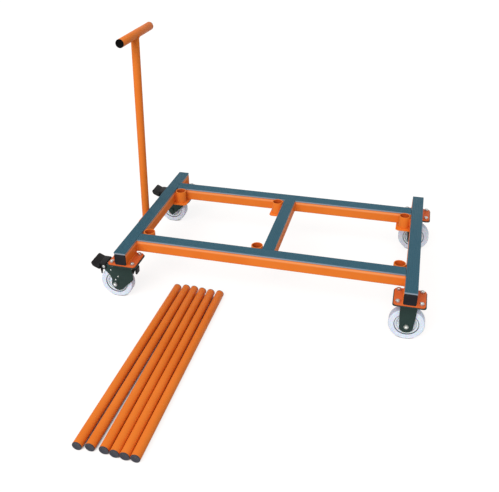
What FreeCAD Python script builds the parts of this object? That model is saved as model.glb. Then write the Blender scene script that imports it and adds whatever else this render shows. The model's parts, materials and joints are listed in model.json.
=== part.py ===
import FreeCAD, Part
import math
import os
import re

import Sketcher
from FreeCAD import Placement, Rotation, Vector

# Furniture dolly: a rubber-topped tube frame on four casters, with six loose stakes and a T-handle.
#
# The frame's own axes: X along the dolly from the handle end to the far end, Y across it from the
# stake side to the other, Z up.  The origin is the centre of the load deck, on top of the middle strip.
# All sizes are millimetres and angles are degrees.

doc = FreeCAD.newDocument("furniture_dolly")

# ---------------------------------------------------------------- driving sizes

SIZES = {
    "frame": {
        "frame_length": 1210, "frame_width": 800, "tube_size": 50, "tube_wall": 2.5, "tube_corner": 5,
        "rail_inset": 120, "cap_flange": 3, "cap_depth": 16, "cap_wall": 2.5, "cap_clearance": 0.2,
    },
    "deck strips": {
        "strip_thickness": 10, "strip_margin": 0.5, "strip_edge": 1.5, "strip_joint": 0.5,
        "groove_count": 6, "groove_width": 1.6, "groove_depth": 0.9,
    },
    "caster plates": {
        "mount_plate_long": 120, "caster_plate_long": 125, "plate_wide": 110, "mount_plate_thick": 6,
        "caster_plate_thick": 5, "plate_corner": 12, "bolt_span_long": 88, "bolt_span_wide": 80,
        "bolt_diameter": 10, "bolt_hole": 11, "bolt_flats": 16, "bolt_head": 6.4, "nut_height": 8,
        "bolt_tail": 2, "thread_clearance": 0.1,
    },
    "stake sockets": {
        "socket_outer": 48.3, "socket_bore": 40, "socket_proud": 7, "socket_gap": 3.35,
        "base_plate_thick": 4, "base_overlap": 20, "base_margin": 9.35, "base_chamfer": 9,
        "drain_hole": 12,
    },
    "handle": {
        "pipe_outer": 33.7, "pipe_wall": 2.6, "handle_reach": 860.5, "grip_length": 306, "grip_shift": 5,
        "handle_lean": 1.9, "foot_gap": 0.3, "saddle_clearance": 0.1, "sleeve_outer": 45, "sleeve_bore": 37,
        "sleeve_gap": 2.35, "sleeve_proud": 2, "sleeve_depth": 60, "bracket_margin": 1.5,
    },
    "stakes": {
        "stake_length": 920, "plug_flange": 3, "plug_depth": 18, "plug_clearance": 0.2, "stake_reach": 785,
    },
    "loose stakes: clearance to the one before, turn on the floor, slip along it": {
        "stake_gap_1": 183, "stake_turn_1": -0.84, "stake_slip_1": 2,
        "stake_gap_2": 9.3, "stake_turn_2": -0.56, "stake_slip_2": 7,
        "stake_gap_3": 14.3, "stake_turn_3": 0.16, "stake_slip_3": 7,
        "stake_gap_4": 4.3, "stake_turn_4": 0.16, "stake_slip_4": 2,
        "stake_gap_5": 1.8, "stake_turn_5": -0.03, "stake_slip_5": 0,
        "stake_gap_6": 2.8, "stake_turn_6": -0.25, "stake_slip_6": 0,
    },
    "wheels": {
        "wheel_diameter": 140, "wheel_width": 38, "tread_core": 92, "tread_round": 6,
        "seat_clearance": 0.05, "rim_width": 32, "rim_wall": 6, "web_thick": 7, "hub_length": 42,
        "hub_diameter": 38, "bush_outer": 20, "bush_length": 15, "spoke_count": 8, "spoke_thick": 4,
        "spoke_width": 22, "axle_diameter": 12, "running_clearance": 0.05,
    },
    "forks": {
        "caster_height": 180, "fork_gap": 46, "fork_wall": 3.5, "axle_hole_clearance": 0.1,
        "axle_flats": 17, "axle_head": 7.5, "axle_nut": 10, "axle_tail": 5, "washer_diameter": 20,
        "washer_thick": 1.6,
        "leg_top": 67, "leg_middle": 61, "leg_foot": 54, "leg_below_axle": 33, "leg_round": 26,
        "leg_bend": 70, "panel_proud": 1.5, "panel_margin": 9, "boss_diameter": 30,
    },
    "swivel head": {
        "trail": 47, "race_radius": 27, "race_band": 9, "race_height": 8, "race_gap": 0.3,
        "ball_diameter": 8, "ball_count": 10, "ball_clearance": 0.15, "crown_radius": 39, "crown_front": 30,
        "crown_rise": 6, "king_diameter": 12, "king_head": 20, "king_head_thick": 3, "king_flats": 18,
        "king_nut": 7, "king_tail": 2, "tongue_thick": 3, "tongue_width": 30, "tongue_back": 18,
        "toe_drop": 60, "toe_reach": 50, "toe_thick": 8,
        "cheek_front": 35, "cheek_drop": 61, "foot_front": 19, "foot_rear": 5, "heel_out": 20, "heel_drop": 8,
        "waist_out": 16, "waist_rise": 22, "shoulder_out": 25, "shoulder_rise": 42,
        "cheek_round": 12, "foot_round": 21,
        "inner_top": 58, "inner_front": 27, "inner_middle": 86, "inner_waist": 14, "inner_foot": 50,
    },
    "brake pedal": {
        "pin_out": 91, "pin_diameter": 8, "pin_head": 13, "pin_head_thick": 2, "ear_radius": 9,
        "cheek_clearance": 1, "cheek_wall": 3.5, "hood_thick": 3, "hood_clearance": 1.5, "hood_front": 18,
        "paddle_width": 84, "paddle_reach": 53, "paddle_rise": 17.3, "paddle_thick": 11, "valley_out": 25,
        "valley_rise": 5.3, "paddle_round": 12, "shoe_width": 34, "shoe_thick": 8, "shoe_drop": 26,
        "shoe_out": 12, "spur_drop": 38, "spur_out": 11, "spur_tip": 4,
    },
}


sheet = doc.addObject("Spreadsheet::Sheet", "sizes")
aliases = set()
row = 1
for section, cells in SIZES.items():
    sheet.set(f"A{row}", section)
    row += 1
    for alias, number in cells.items():
        sheet.set(f"A{row}", alias)
        sheet.set(f"B{row}", str(number))
        sheet.setAlias(f"B{row}", alias)
        aliases.add(alias)
        row += 1
doc.recompute()

# Levels and places that many pieces share, written once in terms of the driving sizes.
BEAM_TOP = "(-strip_thickness)"
BEAM_UNDER = "(-strip_thickness - tube_size)"
PLATE_UNDER = "(-strip_thickness - tube_size - mount_plate_thick)"
FLOOR = "(-strip_thickness - tube_size - mount_plate_thick - caster_height)"
END_BEAM_X = "(frame_length / 2 - tube_size / 2)"
RAIL_Y = "(frame_width / 2 - rail_inset - tube_size / 2)"
CASTER_Y = "(frame_width / 2 - plate_wide / 2)"
SOCKET_STEP = "(tube_size / 2 + socket_gap + socket_outer / 2)"
AXLE_DROP = "(caster_height - wheel_diameter / 2)"


def expression(text):
    """Turn a formula in cell names into one that reads them from the sheet."""
    names = r"[A-Za-z_][A-Za-z_0-9]*"
    return re.sub(names, lambda m: "sizes." + m.group(0) if m.group(0) in aliases else m.group(0), text)


def value(text):
    return float(sheet.evalExpression(expression(text)))


def bind(thing, **formulas):
    """Bind properties to formulas: a double underscore in a name stands for a dot."""
    for name, text in formulas.items():
        thing.setExpression(name.replace("__", "."), expression(text))


def place(thing, x="0", y="0", z="0"):
    bind(thing, Placement__Base__x=x, Placement__Base__y=y, Placement__Base__z=z)


nodes = []


def node(thing, label):
    """Name a finished sub-part and list it for export."""
    thing.Label = label
    nodes.append(thing)
    return thing


# ---------------------------------------------------------------- sketches and features

def new_body(name):
    return doc.addObject("PartDesign::Body", name)


def origin_feature(body, role):
    return next(item for item in body.Origin.OriginFeatures if item.Role == role)


def new_sketch(body, role, offset="0"):
    sketch = body.newObject("Sketcher::SketchObject", body.Name + "_sketch")
    sketch.AttachmentSupport = [(origin_feature(body, role), "")]
    sketch.MapMode = "FlatFace"
    bind(sketch, AttachmentOffset__Base__z=offset)
    return sketch


def locate(sketch, geometry, point, formulas):
    """Hold a sketch point by its two distances from the sketch origin."""
    for kind, text in zip(("DistanceX", "DistanceY"), formulas):
        made = sketch.addConstraint(Sketcher.Constraint(kind, -1, 1, geometry, point, value(text)))
        sketch.setExpression(f"Constraints[{made}]", expression(text))


def polygon(body, role, corners, offset="0"):
    """A closed outline of straight lines whose corners are pairs of formulas."""
    sketch = new_sketch(body, role, offset)
    points = [Vector(value(x), value(y), 0) for x, y in corners]
    following = points[1:] + points[:1]
    for start, end in zip(points, following):
        sketch.addGeometry(Part.LineSegment(start, end), False)
    for index in range(len(points)):
        after = (index + 1) % len(points)
        sketch.addConstraint(Sketcher.Constraint("Coincident", index, 2, after, 1))
    for index, corner in enumerate(corners):
        locate(sketch, index, 1, corner)
    return sketch


def rectangle(body, role, left, right, bottom, top, offset="0"):
    return polygon(body, role, [(left, bottom), (right, bottom), (right, top), (left, top)], offset)


def circles(body, role, centres, diameter, offset="0"):
    sketch = new_sketch(body, role, offset)
    for index, (x, y) in enumerate(centres):
        centre = Vector(value(x), value(y), 0)
        sketch.addGeometry(Part.Circle(centre, Vector(0, 0, 1), value(diameter) / 2), False)
        locate(sketch, index, 3, (x, y))
        made = sketch.addConstraint(Sketcher.Constraint("Diameter", index, value(diameter)))
        sketch.setExpression(f"Constraints[{made}]", expression(diameter))
    return sketch


def pad(body, sketch, length, both_ways=False, downward=False):
    feature = body.newObject("PartDesign::Pad", body.Name + "_pad")
    feature.Profile = sketch
    bind(feature, Length=length)
    feature.Midplane = both_ways
    feature.Reversed = downward
    doc.recompute()
    return feature


def pocket(body, sketch, length=None, both_ways=False, upward=False):
    """Cut a sketch out of a body, right through it when no length is given."""
    before = body.Shape.Volume
    feature = body.newObject("PartDesign::Pocket", body.Name + "_pocket")
    feature.Profile = sketch
    if length is None:
        feature.Type = 1
        feature.Midplane = True
    else:
        bind(feature, Length=length)
        feature.Midplane = both_ways
        feature.Reversed = upward
    doc.recompute()
    if not body.Shape.Volume < before - 1e-3:
        raise RuntimeError(body.Name + ": a pocket cut nothing")
    return feature


def revolve(body, sketch, axis):
    feature = body.newObject("PartDesign::Revolution", body.Name + "_turn")
    feature.Profile = sketch
    feature.ReferenceAxis = (sketch, [axis])
    feature.Angle = 360
    doc.recompute()
    return feature


def groove(body, sketch, axis):
    before = body.Shape.Volume
    feature = body.newObject("PartDesign::Groove", body.Name + "_groove")
    feature.Profile = sketch
    feature.ReferenceAxis = (sketch, [axis])
    feature.Angle = 360
    doc.recompute()
    if not body.Shape.Volume < before - 1e-3:
        raise RuntimeError(body.Name + ": a groove cut nothing")
    return feature


def edge_names(shape, wanted):
    return [f"Edge{index + 1}" for index, edge in enumerate(shape.Edges) if wanted(edge)]


def runs_along(axis):
    """A test for straight edges that run along one axis, 0, 1 or 2."""
    def test(edge):
        if not isinstance(edge.Curve, Part.Line):
            return False
        return abs(edge.Curve.Direction[axis]) > 0.999
    return test


def near(edge, **place_at):
    """Whether an edge's middle lies at the given x, y or z, to a twentieth of a millimetre."""
    middle = edge.CenterOfMass
    return all(abs(getattr(middle, axis) - spot) < 0.05 for axis, spot in place_at.items())


def dress(body, kind, wanted, size):
    """Round or bevel the chosen edges of what the body is so far."""
    base = body.Tip
    feature = body.newObject("PartDesign::" + kind, body.Name + "_" + kind.lower())
    feature.Base = (base, edge_names(base.Shape, wanted))
    bind(feature, **{"Radius" if kind == "Fillet" else "Size": size})
    doc.recompute()
    return feature


def copies(label, master, places):
    """One node of identical loose solids: the master's shape at each place."""
    doc.recompute()
    group = doc.addObject("Part::Feature", label)
    shapes = []
    for where in places:
        shape = master.Shape.copy()
        shape.Placement = where.multiply(shape.Placement)
        shapes.extend(shape.Solids)
    group.Shape = Part.makeCompound(shapes)
    return node(group, label)


def at(x, y, z, turn=0.0, axis=Vector(0, 0, 1)):
    return Placement(Vector(value(x), value(y), value(z)), Rotation(axis, turn))


def cylinder(name, diameter, height, z="0"):
    made = doc.addObject("Part::Cylinder", name)
    bind(made, Radius=f"({diameter}) / 2", Height=height)
    place(made, z=z)
    return made


def cut(name, base, tool):
    made = doc.addObject("Part::Cut", name)
    made.Base = base
    made.Tool = tool
    return made


def fuse(name, *parts):
    made = doc.addObject("Part::MultiFuse", name)
    made.Shapes = list(parts)
    return made


def ring(name, outer, inner, height, z="0"):
    blank = cylinder(name + "_blank", outer, height, z)
    bore = cylinder(name + "_bore", inner, height, z)
    return cut(name, blank, bore)


def hexagon(name, flats, height, z="0"):
    """A hexagonal prism, measured across its flats."""
    made = doc.addObject("Part::Prism", name)
    made.Polygon = 6
    bind(made, Circumradius=f"({flats}) / sqrt(3)", Height=height)
    place(made, z=z)
    return made


# ---------------------------------------------------------------- frame of square tube

def square_tube(label, role, length, x, y):
    """A hollow section with rounded corners, centred on its own length."""
    along = {"XZ_Plane": 1, "YZ_Plane": 0}[role]
    half = "tube_size / 2"
    inner = "(tube_size / 2 - tube_wall)"
    body = new_body(label)
    pad(body, rectangle(body, role, "-" + half, half, "-" + half, half), length, both_ways=True)
    dress(body, "Fillet", runs_along(along), "tube_corner")
    pocket(body, rectangle(body, role, "-" + inner, inner, "-" + inner, inner))
    wall_line = value(inner)
    dress(body, "Fillet", lambda edge: runs_along(along)(edge) and
          max(abs(edge.CenterOfMass[axis]) for axis in (0, 1, 2) if axis != along) < wall_line + 0.05,
          "tube_corner - tube_wall")
    place(body, x, y, BEAM_TOP + " - tube_size / 2")
    return node(body, label)


END_BEAM_LENGTH = "frame_width - 2 * cap_flange"
RAIL_LENGTH = "frame_length - 2 * tube_size"
MIDDLE_LENGTH = "frame_width - 2 * rail_inset - 2 * tube_size"

square_tube("left_end_beam", "XZ_Plane", END_BEAM_LENGTH, "-" + END_BEAM_X, "0")
square_tube("right_end_beam", "XZ_Plane", END_BEAM_LENGTH, END_BEAM_X, "0")
square_tube("front_rail", "YZ_Plane", RAIL_LENGTH, "0", "-" + RAIL_Y)
square_tube("rear_rail", "YZ_Plane", RAIL_LENGTH, "0", RAIL_Y)
square_tube("middle_beam", "XZ_Plane", MIDDLE_LENGTH, "0", "0")


def deck_strip(label, role, length, x, y):
    """A rubber strip with grooves along its top, lying on its beam."""
    along = {"XZ_Plane": 1, "YZ_Plane": 0}[role]
    half = "(tube_size / 2 - strip_margin)"
    count = int(value("groove_count"))
    corners = [("-" + half, "-strip_thickness"), (half, "-strip_thickness"), (half, "0")]
    for index in range(count):
        middle = f"{half} * (1 - 2 * ({index} + 1) / ({count} + 1))"
        corners.append((f"{middle} + groove_width / 2", "0"))
        corners.append((f"{middle} + groove_width / 2", "-groove_depth"))
        corners.append((f"{middle} - groove_width / 2", "-groove_depth"))
        corners.append((f"{middle} - groove_width / 2", "0"))
    corners.append(("-" + half, "0"))
    body = new_body(label)
    pad(body, polygon(body, role, corners), length, both_ways=True)
    side = value(half)
    across = "y" if along == 0 else "x"
    dress(body, "Fillet", lambda edge: runs_along(along)(edge) and near(edge, z=0) and
          abs(abs(getattr(edge.CenterOfMass, across)) - side) < 0.05, "strip_edge")
    place(body, x, y)
    return node(body, label)


deck_strip("left_end_strip", "XZ_Plane", "frame_width", "-" + END_BEAM_X, "0")
deck_strip("right_end_strip", "XZ_Plane", "frame_width", END_BEAM_X, "0")
deck_strip("front_strip", "YZ_Plane", RAIL_LENGTH + " - 2 * strip_joint", "0", "-" + RAIL_Y)
deck_strip("rear_strip", "YZ_Plane", RAIL_LENGTH + " - 2 * strip_joint", "0", RAIL_Y)
deck_strip("middle_strip", "XZ_Plane", MIDDLE_LENGTH + " - 2 * strip_joint", "0", "0")


def end_cap():
    """A plastic cap: a flange over the tube's end and a hollow plug inside it."""
    half = "tube_size / 2"
    plug = "(tube_size / 2 - tube_wall - cap_clearance)"
    hollow = "(tube_size / 2 - tube_wall - cap_clearance - cap_wall)"
    body = new_body("end_cap")
    pad(body, rectangle(body, "XZ_Plane", "-" + half, half, "-" + half, half), "cap_flange")
    dress(body, "Fillet", runs_along(1), "tube_corner")
    pad(body, rectangle(body, "XZ_Plane", "-" + plug, plug, "-" + plug, plug), "cap_depth", downward=True)
    dress(body, "Fillet", lambda edge: runs_along(1)(edge) and edge.CenterOfMass.y > 0,
          "tube_corner - tube_wall")
    pocket(body, rectangle(body, "XZ_Plane", "-" + hollow, hollow, "-" + hollow, hollow,
                           "-cap_depth"), "cap_depth", upward=True)
    return body


CAP_Y = "(frame_width / 2 - cap_flange)"
CAP_Z = BEAM_TOP + " - tube_size / 2"
copies("beam_end_caps", end_cap(), [
    at(side + END_BEAM_X, front + CAP_Y, CAP_Z, turn)
    for side in ("-", "") for front, turn in (("-", 0), ("", 180))])

# ---------------------------------------------------------------- caster plates and their bolts

CASTERS = [(side, front) for side in ("-", "") for front in ("-", "")]
BOLT_SPOTS = [(f"({a}bolt_span_long / 2)", f"({b}bolt_span_wide / 2)") for a in ("-", "") for b in ("-", "")]


def drilled_plate(body, length, thickness, top="0"):
    """A plate with round corners and four bolt holes, hanging down from the level top."""
    long_half = f"({length} / 2)"
    wide_half = "(plate_wide / 2)"
    outline = rectangle(body, "XY_Plane", "-" + long_half, long_half, "-" + wide_half, wide_half, top)
    pad(body, outline, thickness, downward=True)
    dress(body, "Fillet", runs_along(2), "plate_corner")
    pocket(body, circles(body, "XY_Plane", BOLT_SPOTS, "bolt_hole", top))
    return body


mount_plate = drilled_plate(new_body("mount_plate"), "mount_plate_long", "mount_plate_thick")
copies("caster_mount_plates", mount_plate,
       [at(side + END_BEAM_X, front + CASTER_Y, BEAM_UNDER) for side, front in CASTERS])

bolt_shank = cylinder("bolt_shank", "bolt_diameter",
                      "caster_plate_thick + mount_plate_thick + nut_height + bolt_tail")
bolt_head = hexagon("bolt_head_hex", "bolt_flats", "bolt_head", "-bolt_head")
plate_bolt = fuse("plate_bolt", bolt_shank, bolt_head)
plate_nut = cut("plate_nut", hexagon("nut_hex", "bolt_flats", "nut_height"),
                cylinder("nut_bore", "bolt_diameter + 2 * thread_clearance", "nut_height"))
bolt_places = [(side + END_BEAM_X + " + " + x, front + CASTER_Y + " + " + y)
               for side, front in CASTERS for x, y in BOLT_SPOTS]
copies("caster_plate_bolts", plate_bolt,
       [at(x, y, PLATE_UNDER + " - caster_plate_thick") for x, y in bolt_places])
copies("caster_plate_nuts", plate_nut, [at(x, y, BEAM_UNDER) for x, y in bolt_places])

# ---------------------------------------------------------------- stake and handle sockets

SOCKET_TOP = "(socket_proud - strip_thickness)"
SOCKET_HEIGHT = "(socket_proud + tube_size)"
CORNER_X = "(frame_length / 2 - tube_size - socket_gap - socket_outer / 2)"
SOCKET_Y = "(frame_width / 2 - rail_inset - tube_size - socket_gap - socket_outer / 2)"
MIDDLE_X = "-" + SOCKET_STEP
HANDLE_X = "(-frame_length / 2 - sleeve_gap - sleeve_outer / 2)"
SLEEVE_FOOT = BEAM_UNDER + " + sleeve_proud - sleeve_depth"


def socket(label, x, y):
    """An upright tube that takes the foot of a stake, standing on its base plate."""
    made = ring(label, "socket_outer", "socket_bore", SOCKET_HEIGHT)
    place(made, x, y, BEAM_UNDER)
    return node(made, label)


SOCKETS = {
    "front_left_socket": ("-" + CORNER_X, "-" + SOCKET_Y, 180),
    "front_middle_socket": (MIDDLE_X, "-" + SOCKET_Y, 270),
    "front_right_socket": (CORNER_X, "-" + SOCKET_Y, 270),
    "rear_left_socket": ("-" + CORNER_X, SOCKET_Y, 90),
    "rear_middle_socket": (MIDDLE_X, SOCKET_Y, 0),
    "rear_right_socket": (CORNER_X, SOCKET_Y, 0),
}
for label, (x, y, turn) in SOCKETS.items():
    socket(label, x, y)
sleeve = ring("handle_socket", "sleeve_outer", "sleeve_bore", "sleeve_depth")
place(sleeve, HANDLE_X, "0", SLEEVE_FOOT)
node(sleeve, "handle_socket")


def corner_plate(name):
    """The plate under a stake socket, which laps under the tubes on +X and on +Y."""
    free = "(socket_outer / 2 + base_margin)"
    lapped = "(socket_outer / 2 + socket_gap + base_overlap)"
    body = new_body(name)
    pad(body, rectangle(body, "XY_Plane", "-" + free, lapped, "-" + free, lapped),
        "base_plate_thick", downward=True)
    edge_line = value(free)
    dress(body, "Chamfer", lambda edge: runs_along(2)(edge) and near(edge, x=-edge_line) and
          near(edge, y=-edge_line), "base_chamfer")
    pocket(body, circles(body, "XY_Plane", [("0", "0")], "drain_hole"))
    return body


def sleeve_bracket(name):
    """The plate under the end beam that the handle's sleeve is let into."""
    body = new_body(name)
    wide = "(sleeve_outer / 2 + base_margin)"
    pad(body, rectangle(body, "XY_Plane", "-(sleeve_outer / 2 + bracket_margin)",
                        "sleeve_outer / 2 + sleeve_gap + base_overlap", "-" + wide, wide),
        "base_plate_thick", downward=True)
    pocket(body, circles(body, "XY_Plane", [("0", "0")], "sleeve_outer + 2 * seat_clearance"))
    return body


def sleeve_floor(name):
    """The small plate that closes the sleeve's foot."""
    body = new_body(name)
    half = "(sleeve_outer / 2 + base_margin / 2)"
    pad(body, rectangle(body, "XY_Plane", "-" + half, half, "-" + half, half), "base_plate_thick",
        downward=True)
    dress(body, "Chamfer", runs_along(2), "base_chamfer / 2")
    pocket(body, circles(body, "XY_Plane", [("0", "0")], "drain_hole"))
    return body


corner_base = corner_plate("corner_base")
bracket_base, floor_base = sleeve_bracket("bracket_base"), sleeve_floor("floor_base")
doc.recompute()
base_places = [(corner_base, at(x, y, BEAM_UNDER, turn)) for x, y, turn in SOCKETS.values()]
base_places.append((bracket_base, at(HANDLE_X, "0", BEAM_UNDER)))
base_places.append((floor_base, at(HANDLE_X, "0", SLEEVE_FOOT)))
bases = doc.addObject("Part::Feature", "socket_base_plates")
base_shapes = []
for master, where in base_places:
    shape = master.Shape.copy()
    shape.Placement = where.multiply(shape.Placement)
    base_shapes.append(shape)
bases.Shape = Part.makeCompound(base_shapes)
node(bases, "socket_base_plates")

# ---------------------------------------------------------------- wheels

AXLE_HALF = "(fork_gap / 2 + fork_wall + panel_proud)"
BORE = "(bush_outer / 2 + seat_clearance)"


def wheel_core(name):
    """The moulded centre: a hub and a rim joined by a web and spokes, on two plain bushes."""
    hub, rim, web = "hub_length / 2", "rim_width / 2", "web_thick / 2"
    rim_inside = "(tread_core / 2 - rim_wall)"
    half = [(hub, BORE), (hub, "hub_diameter / 2 - 2"), (web, "hub_diameter / 2 + 1"),
            (web, rim_inside), (rim, rim_inside + " + 1"), (rim, "tread_core / 2")]
    corners = half + [("-" + y, radius) for y, radius in reversed(half)]
    body = new_body(name + "_moulding")
    revolve(body, polygon(body, "YZ_Plane", corners), "H_Axis")
    spoke = pad(body, rectangle(body, "XZ_Plane", "hub_diameter / 2 - 3", rim_inside + " + 1",
                                "-spoke_thick / 2", "spoke_thick / 2"), "spoke_width", both_ways=True)
    pattern = body.newObject("PartDesign::PolarPattern", body.Name + "_spokes")
    pattern.Originals = [spoke]
    pattern.Axis = (origin_feature(body, "Y_Axis"), [""])
    pattern.Angle = 360
    bind(pattern, Occurrences="spoke_count")
    body.Tip = pattern
    doc.recompute()
    return body


def wheel_bush(name):
    return ring(name, "bush_outer", "axle_diameter + 2 * running_clearance", "bush_length")


def tread(label):
    """The round-shouldered tread that is cast on the rim."""
    half, inside = "wheel_width / 2", "(tread_core / 2 + seat_clearance)"
    body = new_body(label)
    corners = [("-" + half, inside), (half, inside), (half, "wheel_diameter / 2"),
               ("-" + half, "wheel_diameter / 2")]
    revolve(body, polygon(body, "YZ_Plane", corners), "H_Axis")
    radius = value("wheel_diameter / 2")
    dress(body, "Fillet", lambda edge: isinstance(edge.Curve, Part.Circle) and
          abs(edge.Curve.Radius - radius) < 0.05, "tread_round")
    return body


ACROSS = Vector(1, 0, 0)
AXLE_Z = PLATE_UNDER + " - " + AXLE_DROP
BUSH_Y = "(hub_length / 2 - bush_length)"


def wheel(name, x, y):
    """A tread and a core, on an axle that lies along Y."""
    tyre = tread(name + "_wheel_tread")
    place(tyre, x, y, AXLE_Z)
    node(tyre, name + "_wheel_tread")
    core = wheel_core(name)
    bush = wheel_bush(name + "_bush")
    doc.recompute()
    shapes = [core.Shape.copy()]
    for turn in (-90, 90):
        shape = bush.Shape.copy()
        out = BUSH_Y if turn < 0 else "-" + BUSH_Y
        shape.Placement = at("0", out, "0", turn, ACROSS)
        shapes.append(shape)
    made = doc.addObject("Part::Feature", name + "_wheel_core")
    made.Shape = Part.makeCompound(shapes)
    place(made, x, y, AXLE_Z)
    return node(made, name + "_wheel_core")


def axle_set():
    """Bolt, two washers and nut along Z, with the wheel's middle at zero and the nut at the top."""
    seat = AXLE_HALF + " + washer_thick"
    shank = cylinder("axle_shank", "axle_diameter", f"2 * ({seat}) + axle_nut + axle_tail", f"-({seat})")
    head = hexagon("axle_head_hex", "axle_flats", "axle_head", f"-({seat}) - axle_head")
    bolt = fuse("axle_bolt", shank, head)
    nut = cut("axle_nut_cut", hexagon("axle_nut_hex", "axle_flats", "axle_nut", seat),
              cylinder("axle_nut_bore", "axle_diameter + 2 * thread_clearance", "axle_nut", seat))
    parts = [bolt, nut]
    for name, level in (("top_washer", AXLE_HALF), ("low_washer", f"-({seat})")):
        parts.append(ring(name, "washer_diameter", "axle_diameter + 2 * axle_hole_clearance",
                          "washer_thick", level))
    whole = doc.addObject("Part::Compound", "axle_set")
    whole.Links = parts
    return whole


# ---------------------------------------------------------------- rigid casters at the far end

def leg_outline(body, margin="0"):
    """The tapered leg as seen from the side, drawn in by a margin on every edge."""
    middle, foot = f"(leg_middle / 2 - {margin})", f"(leg_foot / 2 - {margin})"
    top = f"(leg_top / 2 - {margin})"
    levels = [f"-caster_plate_thick - {margin}", "-leg_bend", "-" + AXLE_DROP,
              f"-{AXLE_DROP} - leg_below_axle + {margin}"]
    widths = [top, middle, foot, foot]
    right = list(zip(widths, levels))
    left = [("-" + width, level) for width, level in reversed(right)]
    return polygon(body, "XZ_Plane", right + left)


def round_foot(body, margin="0"):
    level = value(f"-{AXLE_DROP} - leg_below_axle + {margin}")
    dress(body, "Fillet", lambda edge: runs_along(1)(edge) and near(edge, z=level),
          f"leg_round - {margin}")


def clear_middle(body, left, right, top, bottom):
    """Cut out the room between the two sides of a fork."""
    pocket(body, rectangle(body, "XZ_Plane", left, right, bottom, top), "fork_gap", both_ways=True)


def rigid_bracket(label, x, y):
    """A plate with two pressed legs that stand straight down on either side of the wheel."""
    body = drilled_plate(new_body(label), "caster_plate_long", "caster_plate_thick")
    pad(body, leg_outline(body), "fork_gap + 2 * fork_wall", both_ways=True)
    round_foot(body)
    pad(body, leg_outline(body, "panel_margin"), "2 * " + AXLE_HALF, both_ways=True)
    round_foot(body, "panel_margin")
    face = value(AXLE_HALF)
    dress(body, "Chamfer", lambda edge: near(edge, y=face) or near(edge, y=-face),
          "panel_proud - 0.1")
    clear_middle(body, "-leg_top", "leg_top", "-caster_plate_thick - fork_wall", "-caster_height")
    pocket(body, circles(body, "XZ_Plane", [("0", "-" + AXLE_DROP)],
                         "axle_diameter + 2 * axle_hole_clearance"))
    place(body, x, y, PLATE_UNDER)
    return node(body, label)


# ---------------------------------------------------------------- swivel casters at the handle end

FORK_TOP = "(-caster_plate_thick - race_height - race_gap - crown_rise)"
CROWN_UNDER = f"({FORK_TOP} - fork_wall)"
TONGUE_UNDER = f"({FORK_TOP} - fork_wall - tongue_thick)"
BALL_Z = "(-caster_plate_thick - race_height - race_gap / 2)"
PIN_Z = f"({FORK_TOP} - ear_radius)"


def ball_track(body):
    """The round groove that half of the ball ring runs in."""
    groove(body, circles(body, "YZ_Plane", [("race_radius", BALL_Z)],
                         "ball_diameter + 2 * ball_clearance"), "V_Axis")


def swivel_plate(label, x, y):
    """The caster's own plate, with the upper ball race pressed down from it."""
    body = drilled_plate(new_body(label), "caster_plate_long", "caster_plate_thick")
    inner, outer = "(race_radius - race_band)", "(race_radius + race_band)"
    under = "(-caster_plate_thick - race_height)"
    corners = [(inner, "-caster_plate_thick / 2"), (inner, under), (outer, under),
               (outer, "-caster_plate_thick - race_height / 2"), (outer + " + 3", "-caster_plate_thick / 2")]
    revolve(body, polygon(body, "YZ_Plane", corners), "V_Axis")
    ball_track(body)
    pocket(body, circles(body, "XY_Plane", [("0", "0")], "king_diameter + 2 * axle_hole_clearance"))
    pocket(body, circles(body, "XY_Plane", [("0", "0")], "king_head + 2 * axle_hole_clearance"),
           "king_head_thick")
    place(body, x, y, PLATE_UNDER)
    return node(body, label)


def king_bolt(name):
    """The bolt that holds the fork under its plate: head let into the plate, nut under the fork."""
    length = f"(-{TONGUE_UNDER} + race_gap + king_nut + king_tail)"
    nut_base = f"({TONGUE_UNDER} - race_gap - king_nut)"
    shank = cylinder(name + "_shank", "king_diameter", length, "-" + length)
    head = cylinder(name + "_head", "king_head", "king_head_thick", "-king_head_thick")
    nut = cut(name + "_nut", hexagon(name + "_hex", "king_flats", "king_nut", nut_base),
              cylinder(name + "_bore", "king_diameter + 2 * thread_clearance", "king_nut", nut_base))
    whole = doc.addObject("Part::Compound", name)
    whole.Links = [fuse(name + "_bolt", shank, head), nut]
    return whole


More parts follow.
